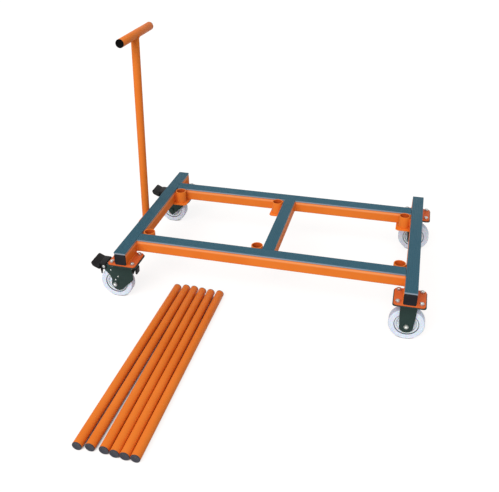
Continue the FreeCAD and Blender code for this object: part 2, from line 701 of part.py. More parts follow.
def swivel_fork(label, x, y, outward):
    """The turning fork: cheeks that sweep back to the axle, the inner one narrower, ears and a crown dish."""
    foot = f"(-{AXLE_DROP} - leg_below_axle)"
    ear_end = "(-pin_out - ear_radius)"
    ear_under = f"({PIN_Z} - ear_radius)"
    corners = [
        ("crown_front", FORK_TOP), ("cheek_front", FORK_TOP + " - cheek_drop"),
        ("-trail + foot_front", foot), ("-trail - foot_rear", foot),
        ("-trail - heel_out", f"-{AXLE_DROP} - heel_drop"),
        ("-trail - waist_out", f"-{AXLE_DROP} + waist_rise"),
        ("-trail - shoulder_out", f"-{AXLE_DROP} + shoulder_rise"),
        (ear_end, ear_under), (ear_end, FORK_TOP)]
    body = new_body(label)
    pad(body, polygon(body, "XZ_Plane", corners), "fork_gap + 2 * fork_wall", both_ways=True)
    spots = [(value(px), value(pz)) for px, pz in corners]

    def corner(*picked):
        return lambda edge: runs_along(1)(edge) and any(
            near(edge, x=spots[index][0], z=spots[index][1]) for index in picked)

    dress(body, "Fillet", corner(2, 3), "foot_round")
    dress(body, "Fillet", corner(1, 4, 5), "cheek_round")
    dress(body, "Fillet", corner(7, 8), "ear_radius - 0.1")
    pad(body, circles(body, "XZ_Plane", [("-trail", "-" + AXLE_DROP)], "boss_diameter"),
        "2 * " + AXLE_HALF, both_ways=True)
    clear_middle(body, ear_end + " - 1", "cheek_front + 1", CROWN_UNDER, "-caster_height")
    clear_middle(body, ear_end + " - 1", "-crown_radius - fork_wall", "0", CROWN_UNDER)
    pocket(body, polygon(body, "XZ_Plane", [
        ("cheek_front + 5", "-inner_top"), ("inner_front", "-inner_top"), ("inner_waist", "-inner_middle"),
        ("-inner_foot", foot + " - 1"), ("cheek_front + 5", foot + " - 1")]), "fork_gap", upward=outward > 0)
    pad(body, circles(body, "XY_Plane", [("0", "0")], "2 * crown_radius", CROWN_UNDER),
        "crown_rise + fork_wall")
    ball_track(body)
    pocket(body, circles(body, "XY_Plane", [("0", "0")],
                         "king_diameter + 2 * running_clearance"))
    pocket(body, circles(body, "XZ_Plane", [("-trail", "-" + AXLE_DROP)],
                         "axle_diameter + 2 * axle_hole_clearance"))
    pocket(body, circles(body, "XZ_Plane", [("-pin_out", PIN_Z)],
                         "pin_diameter + 2 * running_clearance"))
    place(body, x, y, PLATE_UNDER)
    return node(body, label)


def lock_tongue(label, x, y):
    """A flat spring clamped under the crown whose front end turns down ahead of the wheel."""
    front = "toe_reach - toe_thick"
    corners = [
        ("-tongue_back", CROWN_UNDER), ("crown_front", CROWN_UNDER),
        ("toe_reach", CROWN_UNDER + " - toe_thick"), ("toe_reach - 1", "-toe_drop"),
        (front, "-toe_drop + toe_thick / 2"), (front, TONGUE_UNDER + " - toe_thick"),
        ("crown_front - tongue_thick", TONGUE_UNDER), ("-tongue_back", TONGUE_UNDER)]
    body = new_body(label)
    pad(body, polygon(body, "XZ_Plane", corners), "tongue_width", both_ways=True)
    pocket(body, circles(body, "XY_Plane", [("0", "0")], "king_diameter + 2 * cheek_clearance"))
    place(body, x, y, PLATE_UNDER)
    return node(body, label)


def brake_pedal(label, x, y):
    """A foot paddle with a hood over the fork's ears and a finger that swings in to the tread."""
    hood_top = f"({FORK_TOP} + hood_clearance + hood_thick)"
    hood_back, hood_end = "(-pin_out - hood_front)", "(-pin_out + ear_radius + 1)"
    cheek_under = f"({PIN_Z} - ear_radius - 1)"
    valley = "(-pin_out - valley_out)"
    outer = "(-pin_out - paddle_reach)"
    inside = "fork_gap + 2 * fork_wall + 2 * cheek_clearance"
    body = new_body(label)
    pad(body, polygon(body, "XZ_Plane", [
        (outer, PIN_Z + " + paddle_rise"), (valley, PIN_Z + " + valley_rise"),
        (hood_back + " + 2", PIN_Z + " + valley_rise"), (hood_back + " + 2", PIN_Z + " - ear_radius"),
        (valley, PIN_Z + " + valley_rise - paddle_thick"),
        (outer + " + 3", PIN_Z + " + paddle_rise - paddle_thick")]), "paddle_width", both_ways=True)
    outer_x, side_y = value(outer), value("paddle_width / 2")
    dress(body, "Fillet", lambda edge: abs(abs(edge.CenterOfMass.y) - side_y) < 0.05 and
          edge.CenterOfMass.x < outer_x + 4 and not runs_along(1)(edge) and
          edge.BoundBox.XLength < 4, "paddle_round")
    pad(body, polygon(body, "XZ_Plane", [
        (hood_back + " - 4", PIN_Z + " + valley_rise"), (hood_back, hood_top), (hood_end, hood_top),
        (hood_end, cheek_under), ("-pin_out - spur_tip", cheek_under),
        ("-pin_out - spur_out", PIN_Z + " - spur_drop"),
        ("-pin_out - spur_out - spur_tip", PIN_Z + " - spur_drop"), (hood_back, cheek_under)]),
        inside + " + 2 * cheek_wall", both_ways=True)
    pocket(body, rectangle(body, "XZ_Plane", "-pin_out - hood_front + hood_thick + 2", hood_end + " + 5",
                           cheek_under + " - 5", hood_top + " - hood_thick"), inside, both_ways=True)
    pocket(body, rectangle(body, "XZ_Plane", hood_back + " - 1", hood_end + " + 5",
                           PIN_Z + " - spur_drop - 5", cheek_under), inside, both_ways=True)
    finger = "(-pin_out - shoe_out)"
    pad(body, polygon(body, "XZ_Plane", [
        (finger, hood_top + " - hood_thick / 2"), (finger + " - shoe_thick", hood_top + " - hood_thick / 2"),
        (finger + " - shoe_thick", PIN_Z + " - shoe_drop + 6"), (finger + " - shoe_thick / 2",
                                                               PIN_Z + " - shoe_drop"),
        (finger + " + 1", PIN_Z + " - shoe_drop")]), "shoe_width", both_ways=True)
    pocket(body, circles(body, "XZ_Plane", [("-pin_out", PIN_Z)],
                         "pin_diameter + 2 * running_clearance"))
    place(body, x, y, PLATE_UNDER)
    return node(body, label)


def pedal_pin():
    """The pin through the ears and the pedal's cheeks, along Z, with a head at each end."""
    half = "(fork_gap / 2 + fork_wall + cheek_clearance + cheek_wall + race_gap)"
    shank = cylinder("pin_shank", "pin_diameter", f"2 * {half}", "-" + half)
    top = cylinder("pin_top", "pin_head", "pin_head_thick", half)
    low = cylinder("pin_low", "pin_head", "pin_head_thick", f"-{half} - pin_head_thick")
    return fuse("pedal_pin", shank, top, low)


AXLES = axle_set()
PIN = pedal_pin()
doc.recompute()


def lying(master, x, y, z, outward):
    """A copy of a master turned so that its top points to the outer side of the dolly."""
    shape = master.Shape.copy()
    shape.Placement = at(x, y, z, -90 if outward > 0 else 90, ACROSS)
    return shape


def fastener_node(label, shapes):
    made = doc.addObject("Part::Feature", label)
    made.Shape = Part.makeCompound([solid for shape in shapes for solid in shape.Solids])
    return node(made, label)


king_master = king_bolt("king_bolt")
doc.recompute()
king_bolts = []
for front in ("-", ""):
    shape = king_master.Shape.copy()
    shape.Placement = at("-" + END_BEAM_X, front + CASTER_Y, PLATE_UNDER)
    king_bolts.append(shape)
fastener_node("swivel_king_bolts", king_bolts)

rigid_axles = []
for name, front, outward in (("front", "-", -1), ("rear", "", 1)):
    y = front + CASTER_Y
    handle_x = "-" + END_BEAM_X
    wheel_x = f"({handle_x} - trail)"
    swivel = name + "_swivel"
    swivel_plate(swivel + "_plate", handle_x, y)
    swivel_fork(swivel + "_fork", handle_x, y, outward)
    lock_tongue(swivel + "_lock_tongue", handle_x, y)
    brake_pedal(swivel + "_brake_pedal", handle_x, y)
    fastener_node(swivel + "_axle_and_pin", [
        lying(AXLES, wheel_x, y, AXLE_Z, outward),
        lying(PIN, handle_x + " - pin_out", y, PLATE_UNDER + " + " + PIN_Z, outward)])
    wheel(swivel, wheel_x, y)
    rigid_bracket(name + "_rigid_bracket", END_BEAM_X, y)
    wheel(name + "_rigid", END_BEAM_X, y)
    rigid_axles.append(lying(AXLES, END_BEAM_X, y, AXLE_Z, outward))
fastener_node("rigid_axles", rigid_axles)

ball = Part.makeSphere(value("ball_diameter / 2"))
balls = []
for front in ("-", ""):
    for index in range(int(value("ball_count"))):
        turn = Placement(Vector(), Rotation(Vector(0, 0, 1), 360.0 * index / value("ball_count")))
        seat = at("-" + END_BEAM_X, front + CASTER_Y, PLATE_UNDER + " + " + BALL_Z)
        shape = ball.copy()
        shape.Placement = seat.multiply(turn).multiply(at("race_radius", "0", "0"))
        balls.append(shape)
ball_rings = doc.addObject("Part::Feature", "swivel_balls")
ball_rings.Shape = Part.makeCompound(balls)
node(ball_rings, "swivel_balls")

# ---------------------------------------------------------------- handle

LEAN = Rotation(Vector(0, 1, 0), value("handle_lean"))
handle_seat = Placement(Vector(value(HANDLE_X), 0, value(SLEEVE_FOOT + " + sleeve_depth / 2")), LEAN)
lean = math.radians(value("handle_lean"))
half_depth = value("sleeve_depth / 2 - foot_gap")
foot_depth = (half_depth - value("pipe_outer / 2") * math.sin(lean)) / math.cos(lean)

pole_tube = ring("pole_tube", "pipe_outer", "pipe_outer - 2 * pipe_wall", "handle_reach")
for half in (pole_tube.Base, pole_tube.Tool):
    bind(half, Placement__Base__z=f"-{foot_depth}", Height=f"handle_reach + {foot_depth}")
saddle = cylinder("saddle", "pipe_outer + 2 * saddle_clearance", "2 * pipe_outer")
saddle.Placement.Rotation = Rotation(ACROSS, -90)
bind(saddle, Placement__Base__y="-pipe_outer", Placement__Base__z="handle_reach")
pole = cut("handle_pole", pole_tube, saddle)
pole.Placement = handle_seat
node(pole, "handle_pole")

grip = ring("handle_grip", "pipe_outer", "pipe_outer - 2 * pipe_wall", "grip_length - 2 * plug_flange")
near_grip = value("grip_shift - grip_length / 2")
grip_seat = handle_seat.multiply(
    Placement(Vector(0, near_grip, value("handle_reach")), Rotation(ACROSS, -90)))
grip.Placement = grip_seat.multiply(at("0", "0", "plug_flange"))
node(grip, "handle_grip")

# ---------------------------------------------------------------- plugs for open tube ends

INSIDE = "(pipe_outer - 2 * pipe_wall)"
plug = fuse("tube_plug", cylinder("plug_head", "pipe_outer", "plug_flange"),
            cylinder("plug_stem", INSIDE + " - 2 * plug_clearance", "plug_flange + plug_depth"))
doc.recompute()
copies("handle_grip_plugs", plug, [grip_seat, grip_seat.multiply(at("0", "0", "grip_length", 180, ACROSS))])

# ---------------------------------------------------------------- loose stakes on the floor

TUBE_LENGTH = "stake_length - 2 * plug_flange"

stake_side = "(-frame_length / 2)"
for number in range(1, 7):
    middle = f"({stake_side} + stake_gap_{number} + pipe_outer / 2)"
    near_end = f"(-frame_width / 2 - stake_reach + stake_slip_{number})"
    lie = Placement(Vector(value(middle), value(near_end), value(FLOOR + " + pipe_outer / 2")),
                    Rotation(Vector(0, 0, 1), value(f"stake_turn_{number}")))
    lie = lie.multiply(Placement(Vector(), Rotation(ACROSS, -90)))
    tube = ring(f"stake_{number}_tube", "pipe_outer", INSIDE, TUBE_LENGTH)
    tube.Placement = lie.multiply(at("0", "0", "plug_flange"))
    node(tube, f"stake_{number}_tube")
    ends = [lie, lie.multiply(at("0", "0", "stake_length", 180, ACROSS))]
    copies(f"stake_{number}_plugs", plug, ends)
    stake_side = f"({middle} + pipe_outer / 2)"

# ---------------------------------------------------------------- check and export

doc.recompute()
for thing in doc.Objects:
    if "Invalid" in thing.State or "Error" in thing.State:
        raise RuntimeError(f"{thing.Label} did not rebuild")
labels = [thing.Label for thing in nodes]
if len(set(labels)) != len(labels):
    raise RuntimeError("two sub-parts share a name")
os.makedirs("parts", exist_ok=True)
for thing in nodes:
    shape = thing.Shape
    if shape.isNull() or not shape.isValid() or not shape.Solids:
        raise RuntimeError(f"{thing.Label} has no valid solid")
    shape.exportStep(f"parts/{thing.Label}.step")
print(len(nodes), "sub-parts,", sum(len(thing.Shape.Solids) for thing in nodes), "solids")
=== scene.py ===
import json
import math
import random

import bmesh
import bpy
from mathutils import Matrix, Vector


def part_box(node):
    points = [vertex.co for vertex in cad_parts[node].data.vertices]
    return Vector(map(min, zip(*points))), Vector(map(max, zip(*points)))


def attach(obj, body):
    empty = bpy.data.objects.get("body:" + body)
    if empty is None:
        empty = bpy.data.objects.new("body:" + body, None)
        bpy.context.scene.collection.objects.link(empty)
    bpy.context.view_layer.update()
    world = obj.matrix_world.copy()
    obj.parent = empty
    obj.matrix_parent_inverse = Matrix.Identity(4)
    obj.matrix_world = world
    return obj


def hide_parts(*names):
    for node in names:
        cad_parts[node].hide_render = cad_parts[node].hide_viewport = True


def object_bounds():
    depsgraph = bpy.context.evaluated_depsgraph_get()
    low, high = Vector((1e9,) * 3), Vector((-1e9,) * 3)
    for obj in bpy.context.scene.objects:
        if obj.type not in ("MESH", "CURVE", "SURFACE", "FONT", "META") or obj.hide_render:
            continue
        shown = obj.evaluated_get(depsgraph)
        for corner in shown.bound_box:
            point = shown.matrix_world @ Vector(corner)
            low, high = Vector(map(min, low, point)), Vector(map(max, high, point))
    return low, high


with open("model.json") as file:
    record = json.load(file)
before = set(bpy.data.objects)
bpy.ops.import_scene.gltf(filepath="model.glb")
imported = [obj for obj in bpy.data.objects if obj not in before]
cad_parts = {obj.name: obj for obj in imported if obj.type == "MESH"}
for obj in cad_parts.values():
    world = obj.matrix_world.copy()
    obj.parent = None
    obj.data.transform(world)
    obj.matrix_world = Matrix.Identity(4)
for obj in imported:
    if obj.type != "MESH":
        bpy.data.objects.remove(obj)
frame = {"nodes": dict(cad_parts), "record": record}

mm = 0.001
nearly = 1e-6  # places closer than this are one
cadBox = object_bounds()
chance = random.Random(11)

# ---- picking and placing, shared by every piece


def clearSelection():
    bpy.ops.object.select_all(action="DESELECT")


def onlySelect(piece):
    clearSelection()
    piece.select_set(True)
    bpy.context.view_layer.objects.active = piece


def freshPiece(name):
    # names what a primitive operator has just added and puts its place into its mesh
    piece = bpy.context.object
    piece.name = piece.data.name = name
    onlySelect(piece)
    bpy.ops.object.transform_apply(location=True, rotation=True, scale=True)
    return piece


def boxBetween(name, low, high):
    low, high = Vector(low), Vector(high)
    bpy.ops.mesh.primitive_cube_add(size=1, location=(low + high) / 2, scale=high - low)
    return freshPiece(name)


def editing(piece, selectMode="FACE"):
    onlySelect(piece)
    bpy.ops.object.mode_set(mode="EDIT")
    bpy.ops.mesh.select_mode(type=selectMode)


def doneEditing():
    bpy.ops.object.mode_set(mode="OBJECT")


def pick(piece, kind, test):
    # selects, in edit mode, only the faces, edges or verts that pass the test
    mesh = bmesh.from_edit_mesh(piece.data)
    mesh.select_mode = {kind[:-1].upper()}
    for group in (mesh.faces, mesh.edges, mesh.verts):
        for item in group:
            item.select = False
    for item in getattr(mesh, kind):
        if test(item):
            item.select_set(True)
    mesh.select_flush_mode()
    bmesh.update_edit_mesh(piece.data)


def extrude(*way):
    bpy.ops.mesh.extrude_region_move(TRANSFORM_OT_translate={"value": way})


def spanOf(edge, axis):
    return abs(edge.verts[0].co[axis] - edge.verts[1].co[axis])


def allAt(item, axis, level):
    return all(abs(vert.co[axis] - level) < nearly for vert in item.verts)


def bevelEdges(piece, offset, segments, test):
    editing(piece, "EDGE")
    pick(piece, "edges", test)
    bpy.ops.mesh.bevel(offset=offset, segments=segments)
    doneEditing()


def addModifier(piece, kind, **values):
    modifier = piece.modifiers.new(kind.title(), kind)
    for name, value in values.items():
        setattr(modifier, name, value)
    onlySelect(piece)
    bpy.ops.object.modifier_apply(modifier=modifier.name)


def roundEdges(piece, width, steps=2, angle=35):
    addModifier(piece, "BEVEL", width=width, segments=steps, limit_method="ANGLE",
                angle_limit=math.radians(angle), harden_normals=False, use_clamp_overlap=True)


def smooth(piece, angle=35):
    onlySelect(piece)
    bpy.ops.object.shade_smooth_by_angle(angle=math.radians(angle))
    return piece


def cutFrom(piece, tool, how="DIFFERENCE"):
    addModifier(piece, "BOOLEAN", operation=how, object=tool, solver="EXACT")
    discard(tool)


def faceOutwards(piece):
    editing(piece)
    bpy.ops.mesh.select_all(action="SELECT")
    bpy.ops.mesh.remove_doubles(threshold=nearly)
    bpy.ops.mesh.normals_make_consistent(inside=False)
    doneEditing()


def copyTo(piece, name, matrix):
    twin = piece.copy()
    twin.data = piece.data.copy()
    twin.name = twin.data.name = name
    twin.data.transform(matrix)
    bpy.context.scene.collection.objects.link(twin)
    return twin


def gather(name, pieces):
    clearSelection()
    for piece in pieces:
        piece.select_set(True)
    bpy.context.view_layer.objects.active = pieces[0]
    if len(pieces) > 1:
        bpy.ops.object.join()
    whole = bpy.context.object
    whole.name = whole.data.name = name
    return whole


def discard(*pieces):
    for piece in pieces:
        bpy.data.objects.remove(piece, do_unlink=True)


def turnTo(axis):
    # the turn that lays a piece made along Z along another axis
    return Vector((0, 0, 1)).rotation_difference(Vector(axis)).to_matrix().to_4x4()


def shiftBy(x, y, z):
    return Matrix.Translation((x * mm, y * mm, z * mm))


def middleOf(node):
    low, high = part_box(node)
    return (low + high) / 2


def camel(node):
    # a node's name as this file writes names, such as leftEndStrip
    first, *others = node.split("_")
    return first + "".join(word.title() for word in others)


endSide = {"front": -1, "rear": 1}
casterX, casterY = (abs(value) / mm for value in middleOf("rear_swivel_plate").xy)
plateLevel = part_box("caster_mount_plates")[0].z / mm


def casterPlace(end, side):
    # where a caster's plate meets the frame; the swivel casters are on side -1, the rigid ones on side 1
    return shiftBy(side * casterX, endSide[end] * casterY, plateLevel)


def standFor(piece, body, finish, *nodes):
    piece.data.materials.clear()
    piece.data.materials.append(finish)
    for polygon in piece.data.polygons:
        polygon.material_index = 0
    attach(piece, body)
    if nodes:
        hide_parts(*nodes)
    return piece


# ---- shader nodes, shared by the stage and every finish


def connect(tree, sockets, **given):
    # links another node's socket, or sets a plain value
    for label, value in given.items():
        giveTo(tree, sockets[label.replace("_", " ")], value)


def giveTo(tree, socket, value):
    if isinstance(value, bpy.types.NodeSocket):
        tree.links.new(value, socket)
    else:
        socket.default_value = (*value, 1) if socket.type == "RGBA" and len(value) == 3 else value


def addNode(tree, kind, **given):
    node = tree.nodes.new("ShaderNode" + kind)
    connect(tree, node.inputs, **given)
    return node


def noiseIn(tree, vector, scale, detail=2.0, roughness=0.5):
    return addNode(tree, "TexNoise", Vector=vector, Scale=scale, Detail=detail,
                   Roughness=roughness).outputs["Fac"]


def mathIn(tree, operation, *values, clamp=False):
    step = addNode(tree, "Math")
    step.operation, step.use_clamp = operation, clamp
    for socket, value in zip(step.inputs, values):
        giveTo(tree, socket, value)
    return step.outputs[0]


def rangeIn(tree, value, low, high, outLow=0.0, outHigh=1.0):
    return addNode(tree, "MapRange", Value=value, From_Min=low, From_Max=high, To_Min=outLow,
                   To_Max=outHigh).outputs["Result"]


def blendIn(tree, factor, first, second):
    step = addNode(tree, "Mix")
    step.data_type = "RGBA"
    for index, value in ((0, factor), (6, first), (7, second)):
        giveTo(tree, step.inputs[index], value)
    return step.outputs[2]


def partsIn(tree, vector):
    return addNode(tree, "SeparateXYZ", Vector=vector).outputs


def mixShaders(tree, factor, first, second):
    mix = addNode(tree, "MixShader", Fac=factor)
    tree.links.new(first.outputs[0], mix.inputs[1])
    tree.links.new(second.outputs[0], mix.inputs[2])
    return mix


def emptyTree(owner):
    owner.use_nodes = True
    owner.node_tree.nodes.clear()
    return owner.node_tree


# ---- camera

cameraSetup = {"place": (0.49294, -2.45094, 1.38793), "turn": (58.9074, 0.2629, 14.2508), "lens": 47.093}
bpy.ops.object.camera_add(location=cameraSetup["place"],
                          rotation=[math.radians(angle) for angle in cameraSetup["turn"]])
camera = bpy.context.object
camera.name = "viewCamera"
camera.data.lens = cameraSetup["lens"]
camera.data.sensor_width = 36
camera.data.clip_start, camera.data.clip_end = 0.05, 60
bpy.context.scene.camera = camera
print("camera placed")

# ---- floor, light and background

stageLook = {"floorSize": 40, "floorDrop": 0.0003, "floorColour": (0.50, 0.50, 0.50),
             "seenColour": (0.275, 0.258, 0.248), "floorLift": 0.80, "backWhite": (1, 1, 1),
             "fillLight": 0.66, "keyPower": 2.27, "keyAngle": 45, "keyTurn": (50, 0, -11),
             "contactReach": 0.045, "contactDark": 0.14, "contactClear": 0.34}


def seenOrMirrored(tree):
    # 1 where the camera, a mirror-like surface or a clear one looks, 0 where light is gathered
    rays = addNode(tree, "LightPath").outputs
    either = mathIn(tree, "MAXIMUM", rays["Is Camera Ray"], rays["Is Glossy Ray"])
    return mathIn(tree, "MAXIMUM", either, rays["Is Transmission Ray"])


def layFloor():
    bpy.ops.mesh.primitive_plane_add(size=stageLook["floorSize"],
                                     location=(0, 0, cadBox[0].z - stageLook["floorDrop"]))
    floor = freshPiece("studioFloor")
    look = bpy.data.materials.new("studioFloorPaint")
    tree = emptyTree(look)
    contact = addNode(tree, "AmbientOcclusion", Distance=stageLook["contactReach"])
    contact.samples = 24
    # the floor's own glow goes out only in narrow gaps, as a contact shadow
    lift = rangeIn(tree, contact.outputs["AO"], stageLook["contactDark"], stageLook["contactClear"], 0,
                   stageLook["floorLift"])
    both = addNode(tree, "AddShader")
    tree.links.new(addNode(tree, "BsdfDiffuse", Color=stageLook["seenColour"]).outputs[0], both.inputs[0])
    tree.links.new(addNode(tree, "Emission", Strength=lift).outputs[0], both.inputs[1])
    plain = addNode(tree, "BsdfDiffuse", Color=stageLook["floorColour"])
    addNode(tree, "OutputMaterial", Surface=mixShaders(tree, seenOrMirrored(tree), plain, both).outputs[0])
    floor.data.materials.append(look)


def lightStage():
    world = bpy.data.worlds.new("studioWorld")
    bpy.context.scene.world = world
    tree = emptyTree(world)
    fill = addNode(tree, "Background", Strength=stageLook["fillLight"])
    white = addNode(tree, "Background", Color=stageLook["backWhite"])
    addNode(tree, "OutputWorld", Surface=mixShaders(tree, seenOrMirrored(tree), fill, white).outputs[0])
    bpy.ops.object.light_add(type="SUN", rotation=[math.radians(angle) for angle in stageLook["keyTurn"]])
    key = bpy.context.object
    key.name = "keyLamp"
    key.data.energy = stageLook["keyPower"]
    key.data.angle = math.radians(stageLook["keyAngle"])


layFloor()
lightStage()
bpy.context.scene.view_settings.view_transform = "Standard"
print("stage and light built")

# ---- shared surface effects, as node groups


def startGroup(name, **inputs):
    # an effect that reads a place and its own values, and gives a colour, a roughness and a height
    group = bpy.data.node_groups.new(name, "ShaderNodeTree")
    group.interface.new_socket(name="Place", in_out="INPUT", socket_type="NodeSocketVector")
    for label, value in inputs.items():
        coloured = isinstance(value, tuple)
        socket = group.interface.new_socket(name=label.replace("_", " "), in_out="INPUT",
                                            socket_type="NodeSocketColor" if coloured else "NodeSocketFloat")
        socket.default_value = (*value, 1) if coloured else value
    for label, kind in (("Colour", "Color"), ("Roughness", "Float"), ("Height", "Float")):
        group.interface.new_socket(name=label, in_out="OUTPUT", socket_type="NodeSocket" + kind)
    return group, group.nodes.new("NodeGroupInput").outputs, group.nodes.new("NodeGroupOutput").inputs


def edgeHighlightIn(tree, reach, strength):
    # 1 along edges, found from how far a rounded normal leans from the surface's own; the finishes paint
    # their edges paler with it, a painted highlight
    rounded = addNode(tree, "Bevel", Radius=reach)
    rounded.samples = 6
    meet = addNode(tree, "VectorMath")
    meet.operation = "DOT_PRODUCT"
    for socket, source in zip(meet.inputs, (rounded, addNode(tree, "NewGeometry"))):
        tree.links.new(source.outputs["Normal"], socket)
    return rangeIn(tree, meet.outputs["Value"], 0.99, 0.88, 0, strength)


# levels of the band of painted highlight below the beams' upper corners
cornerHighlightLevel = {"top": -0.0125, "full": -0.0150, "fade": -0.0185, "foot": -0.0245}  # levels, in metres


def upperCornerHighlightIn(tree, place, strength):
    # 1 in a soft band along the upper edge of a tube's sides: a painted highlight where the rounded corner
    # would catch light
    level = partsIn(tree, place)["Z"]
    below = rangeIn(tree, level, cornerHighlightLevel["top"], cornerHighlightLevel["full"])
    above = rangeIn(tree, level, cornerHighlightLevel["foot"], cornerHighlightLevel["fade"])
    return mathIn(tree, "MULTIPLY", mathIn(tree, "MULTIPLY", below, above), strength)


def makeCoatGroup():
    # sprayed or baked paint: slow drifts of tone, fine orange peel, paler along edges where the coat is thin
    # and as a painted highlight, and a band of painted highlight below a tube's upper corners
    group, given, made = startGroup(
        "coatTone", Colour=(0.8, 0.3, 0.1), Deep_Colour=(0.6, 0.2, 0.05), Edge_Colour=(1, 0.6, 0.3),
        Drift=6.0, Peel=700.0, Edge_Reach=0.001, Corner_Wear=0.0)
    drift = noiseIn(group, given["Place"], given["Drift"], 4, 0.6)
    speck = noiseIn(group, given["Place"], 240.0, 3, 0.7)
    tone = blendIn(group, rangeIn(group, drift, 0.35, 0.75, 0, 0.55), given["Colour"], given["Deep Colour"])
    tone = blendIn(group, rangeIn(group, speck, 0.62, 0.9, 0, 0.18), tone, given["Deep Colour"])
    # paler along edges: a thinner coat there, and a painted highlight
    tone = blendIn(group, edgeHighlightIn(group, given["Edge Reach"], 0.6), tone, given["Edge Colour"])
    # a band of painted highlight below the upper corners of a tube
    paintedCornerLight = upperCornerHighlightIn(group, given["Place"], given["Corner Wear"])
    connect(group, made, Colour=blendIn(group, paintedCornerLight, tone, given["Edge Colour"]),
            Roughness=mathIn(group, "ADD", rangeIn(group, drift, 0.3, 0.7, 0.36, 0.46),
                             rangeIn(group, speck, 0.3, 0.8, 0, 0.06)),
            Height=noiseIn(group, given["Place"], given["Peel"], 1.5, 0.4))
    return group


def makeMouldGroup():
    # moulded plastic or rubber: fine spark-eroded grain, faint flow marks, a little dust in the grain, and
    # edges paler toward the dust colour as a painted highlight
    group, given, made = startGroup("mouldedGrain", Colour=(0.02, 0.02, 0.02), Dust_Colour=(0.2, 0.2, 0.2),
                                    Grain=1300.0, Dust=0.2)
    grain = noiseIn(group, given["Place"], given["Grain"], 2, 0.6)
    flow = noiseIn(group, given["Place"], 22.0, 4, 0.6)
    speck = noiseIn(group, given["Place"], 420.0, 3, 0.7)
    upward = rangeIn(group, partsIn(group, addNode(group, "NewGeometry").outputs["Normal"])["Z"], 0.2, 1.0)
    settled = mathIn(group, "ADD", mathIn(group, "MULTIPLY", upward, 0.7), 0.3)
    dusty = mathIn(group, "MULTIPLY", rangeIn(group, speck, 0.45, 0.75), settled)
    dusty = mathIn(group, "MULTIPLY", dusty, given["Dust"], clamp=True)
    tone = blendIn(group, dusty, given["Colour"], given["Dust Colour"])
    # the edges turn toward the dust colour: a painted highlight
    connect(group, made, Colour=blendIn(group, edgeHighlightIn(group, 0.0008, 0.25), tone, given["Dust Colour"]),
            Roughness=mathIn(group, "ADD", rangeIn(group, flow, 0.3, 0.7, 0.0, 0.10),
                             rangeIn(group, grain, 0.3, 0.7, 0, 0.08)), Height=grain)
    return group


def makeZincGroup():
    # bright zinc: soft grey clouds, faint yellow and blue passivation, tiny scratches
    group, given, made = startGroup("zincBloom", Colour=(0.7, 0.71, 0.72), Warm_Colour=(0.75, 0.70, 0.58),
                                    Dark_Colour=(0.4, 0.41, 0.43))
    cloud = noiseIn(group, given["Place"], 90.0, 4, 0.6)
    tint = noiseIn(group, given["Place"], 35.0, 2, 0.5)
    stretched = addNode(group, "Mapping", Vector=given["Place"], Scale=(1, 1, 0.08)).outputs[0]
    scratch = noiseIn(group, stretched, 2600.0, 2, 0.7)
    tone = blendIn(group, rangeIn(group, tint, 0.45, 0.75, 0, 0.5), given["Colour"], given["Warm Colour"])
    tone = blendIn(group, rangeIn(group, cloud, 0.5, 0.8, 0, 0.6), tone, given["Dark Colour"])
    connect(group, made, Colour=tone,
            Roughness=mathIn(group, "ADD", rangeIn(group, cloud, 0.3, 0.8, 0.24, 0.46),
                             rangeIn(group, scratch, 0.4, 0.8, 0, 0.1)), Height=scratch)
    return group


coatGroup, mouldGroup, zincGroup = makeCoatGroup(), makeMouldGroup(), makeZincGroup()
print("surface groups built")

# ---- finishes


def paint(red, green, blue):
    # a colour as a paint chart gives it, 0 to 255, turned to the linear values that nodes want
    return tuple(part / 255 / 12.92 if part <= 10 else ((part / 255 + 0.055) / 1.055) ** 2.4
                 for part in (red, green, blue))


def startFinish(name, slot, **plain):
    material = bpy.data.materials.new(name)
    material.use_nodes = True
    tree = material.node_tree
    shader = tree.nodes["Principled BSDF"]
    connect(tree, shader.inputs, **plain)
    return material, tree, shader, addNode(tree, "TexCoord").outputs["Object"]


def useGroup(tree, group, place, **values):
    box = tree.nodes.new("ShaderNodeGroup")
    box.node_tree = group
    connect(tree, box.inputs, Place=place, **values)
    return box.outputs


def finishWith(tree, shader, tone, roughness, height, depth, strength):
    bump = addNode(tree, "Bump", Height=height, Distance=depth, Strength=strength)
    connect(tree, shader.inputs, Base_Color=tone, Roughness=roughness, Normal=bump.outputs["Normal"])


coatColours = {
    "orangeCoat": {"Colour": paint(232, 125, 46), "Deep_Colour": paint(218, 107, 30),
                   "Edge_Colour": paint(248, 164, 104), "Drift": 5.0, "Peel": 620.0, "Edge_Reach": 0.0009},
    # the beams get a wide pale edge and a band of painted highlight below their upper corners
    "beamCoat": {"Colour": paint(230, 124, 48), "Deep_Colour": paint(214, 104, 30),
                 "Edge_Colour": paint(252, 168, 110), "Drift": 5.0, "Peel": 620.0, "Edge_Reach": 0.0045,
                 "Corner_Wear": 0.7},
    # the mount plates' orange made darker and browner: painted shade on the same paint
    "plateCoat": {"Colour": paint(212, 102, 52), "Deep_Colour": paint(186, 82, 34),
                  "Edge_Colour": paint(236, 140, 84), "Drift": 12.0, "Peel": 620.0, "Edge_Reach": 0.0014},
    # a darker orange for the socket bores: painted shade inside the sockets
    "boreShadeCoat": {"Colour": paint(198, 86, 32), "Deep_Colour": paint(156, 56, 14),
                 "Edge_Colour": paint(224, 120, 64), "Drift": 16.0, "Peel": 620.0, "Edge_Reach": 0.001},
    "casterEnamel": {"Colour": paint(37, 57, 53), "Deep_Colour": paint(27, 42, 40),
                     "Edge_Colour": paint(66, 86, 82), "Drift": 14.0, "Peel": 900.0}}


def makeCoatFinish(name, slot, coatWeight, specular):
    material, tree, shader, place = startFinish(name, slot, Coat_Weight=coatWeight, Coat_Roughness=0.25,
                                                Specular_IOR_Level=specular)
    made = useGroup(tree, coatGroup, place, **coatColours[name])
    finishWith(tree, shader, made["Colour"], made["Roughness"], made["Height"], depth=0.00012, strength=0.6)
    return material


